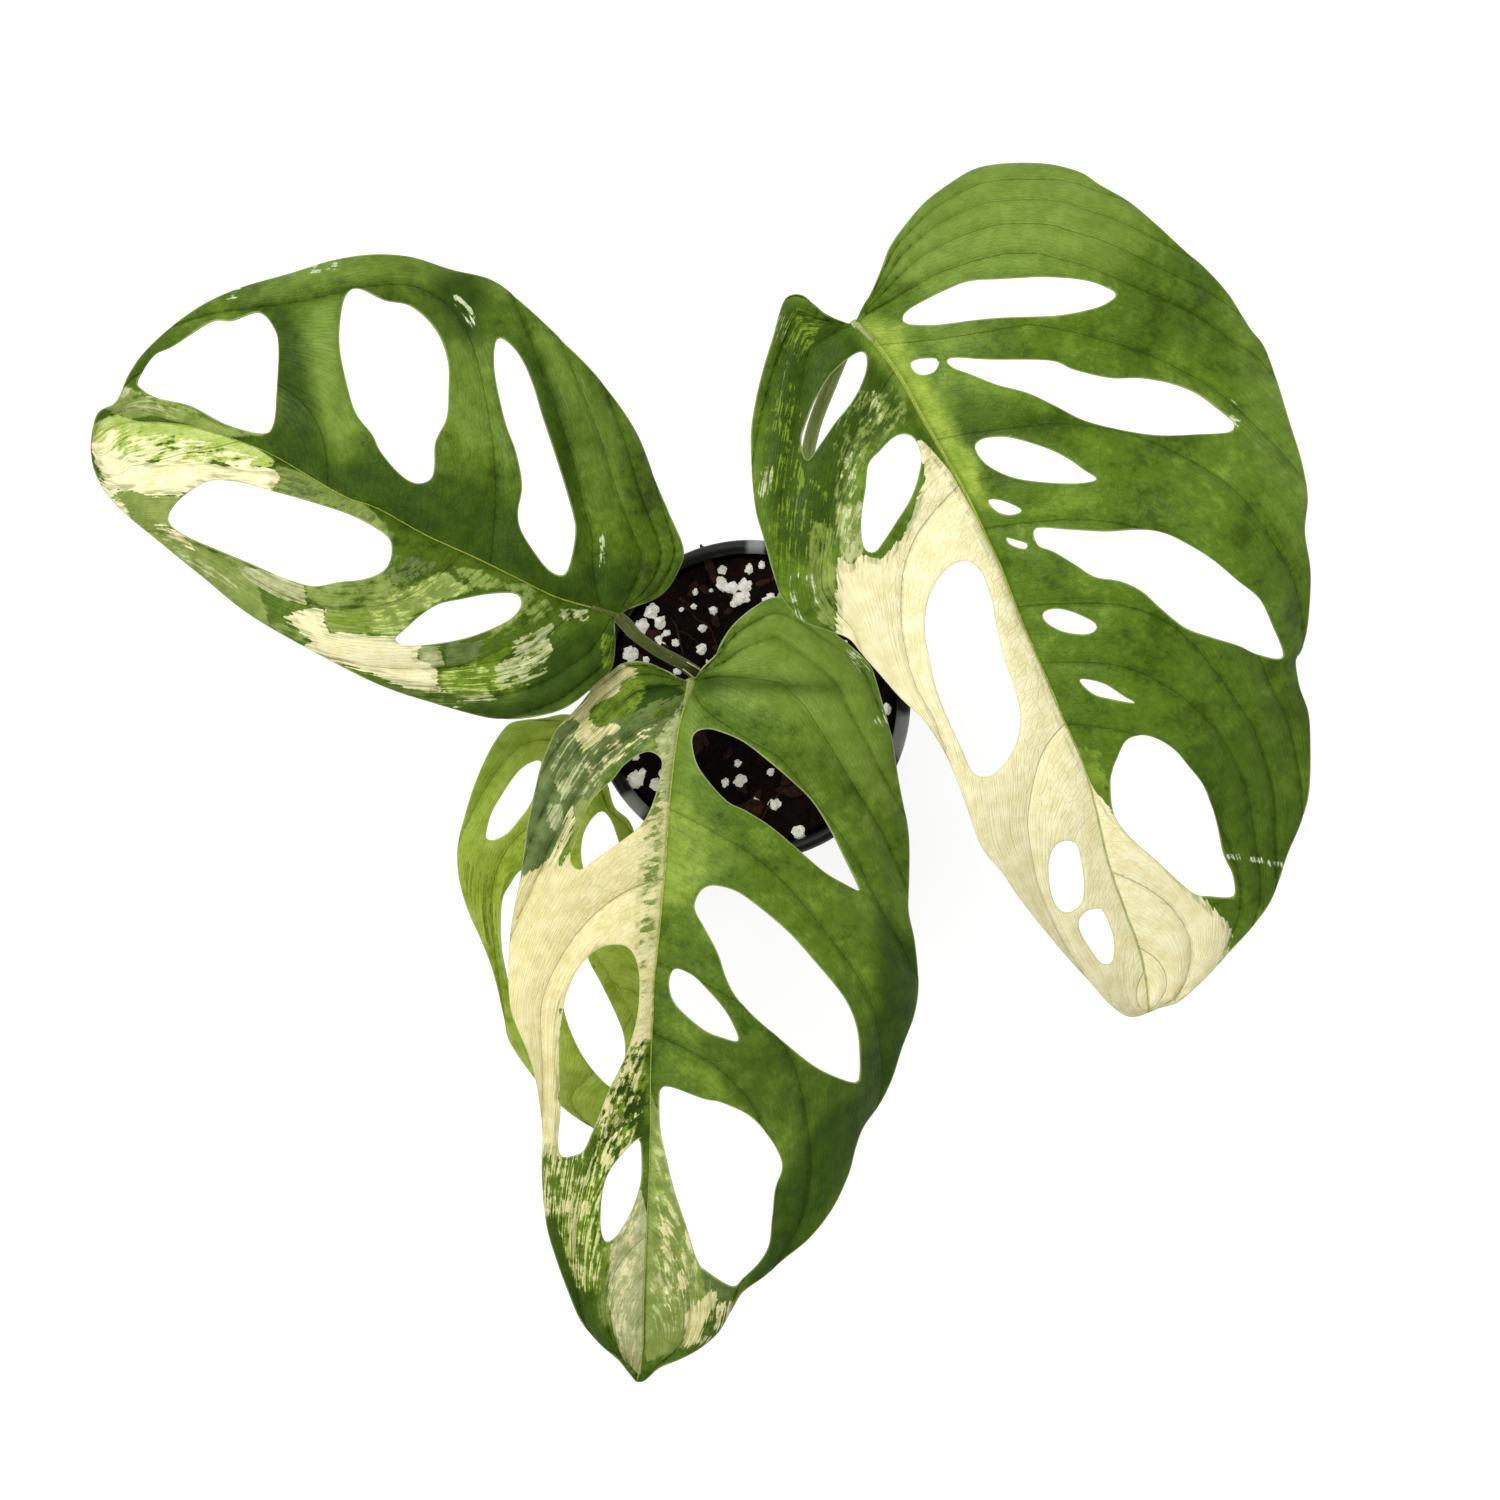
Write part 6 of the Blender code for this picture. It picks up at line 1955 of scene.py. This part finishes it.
# The studio: a floor just under the pot, four soft lights and the camera over the plant.
# A light is its name, place, size in metres and power in watts.
FLOOR_GAP = 0.00005
FLOOR_SIZE = 14.0
LIGHTS = [
    ("key", (-0.85, 0.72, 2.1), 1.0, 34.0),
    ("window", (-0.6, 2.1, 1.3), 1.0, 11.0),
    ("front", (-1.2, -1.4, 1.9), 1.2, 12.0),
    ("fill", (1.8, -0.6, 1.4), 1.0, 5.0),
]
LIGHT_AIM = (0, 0, 0.08)
SKY_STRENGTH = 0.40
CAMERA_PLACE = (0, -0.010, 5.110)
CAMERA_LENS = 600
CAMERA_SENSOR = 36
CAMERA_RANGE = (0.1, 50)


def make_floor():
    """The pale floor that the pot stands on."""
    corners = [(x * FLOOR_SIZE, y * FLOOR_SIZE, -FLOOR_GAP) for x, y in ((-1, -1), (1, -1), (1, 1), (-1, 1))]
    floor = mesh_object("floor", np.array(corners), [(0, 1, 2, 3)], {}, floor_look())


def make_light(name, place, size, power):
    """A soft square light that faces the plant."""
    lamp = bpy.data.lights.new(name, "AREA")
    lamp.size = size
    lamp.energy = power
    made = in_scene(name, lamp)
    made.location = place
    made.rotation_euler = (Vector(LIGHT_AIM) - Vector(place)).to_track_quat("-Z", "Y").to_euler()
    made.visible_camera = False


def make_studio():
    """Soft studio light, the surroundings and the camera over the plant."""
    world = bpy.data.worlds.new("surroundings")
    world.use_nodes = True
    sky = world.node_tree.nodes["Background"]
    sky.inputs["Color"].default_value = (1.0, 1.0, 1.0, 1.0)
    sky.inputs["Strength"].default_value = SKY_STRENGTH
    bpy.context.scene.world = world
    for light in LIGHTS:
        make_light(*light)
    bpy.context.scene.view_settings.view_transform = "Standard"

    camera = bpy.data.cameras.new("camera")
    camera.lens = CAMERA_LENS
    camera.sensor_width = CAMERA_SENSOR
    camera.clip_start, camera.clip_end = CAMERA_RANGE
    holder = in_scene("camera", camera)
    holder.location = CAMERA_PLACE
    bpy.context.scene.camera = holder


def main():
    """Set up the studio, and dress every node of the plant and its pot."""
    make_studio()
    make_floor()
    make_pot()
    make_soil()
    make_perlite()
    make_bark()
    make_fibres()
    make_stem()
    make_sheath()
    membrane = wing_look()
    for petiole in PETIOLES:
        make_petiole(petiole)
        make_wings(petiole, membrane)
        make_blade(petiole.leaf)


main()
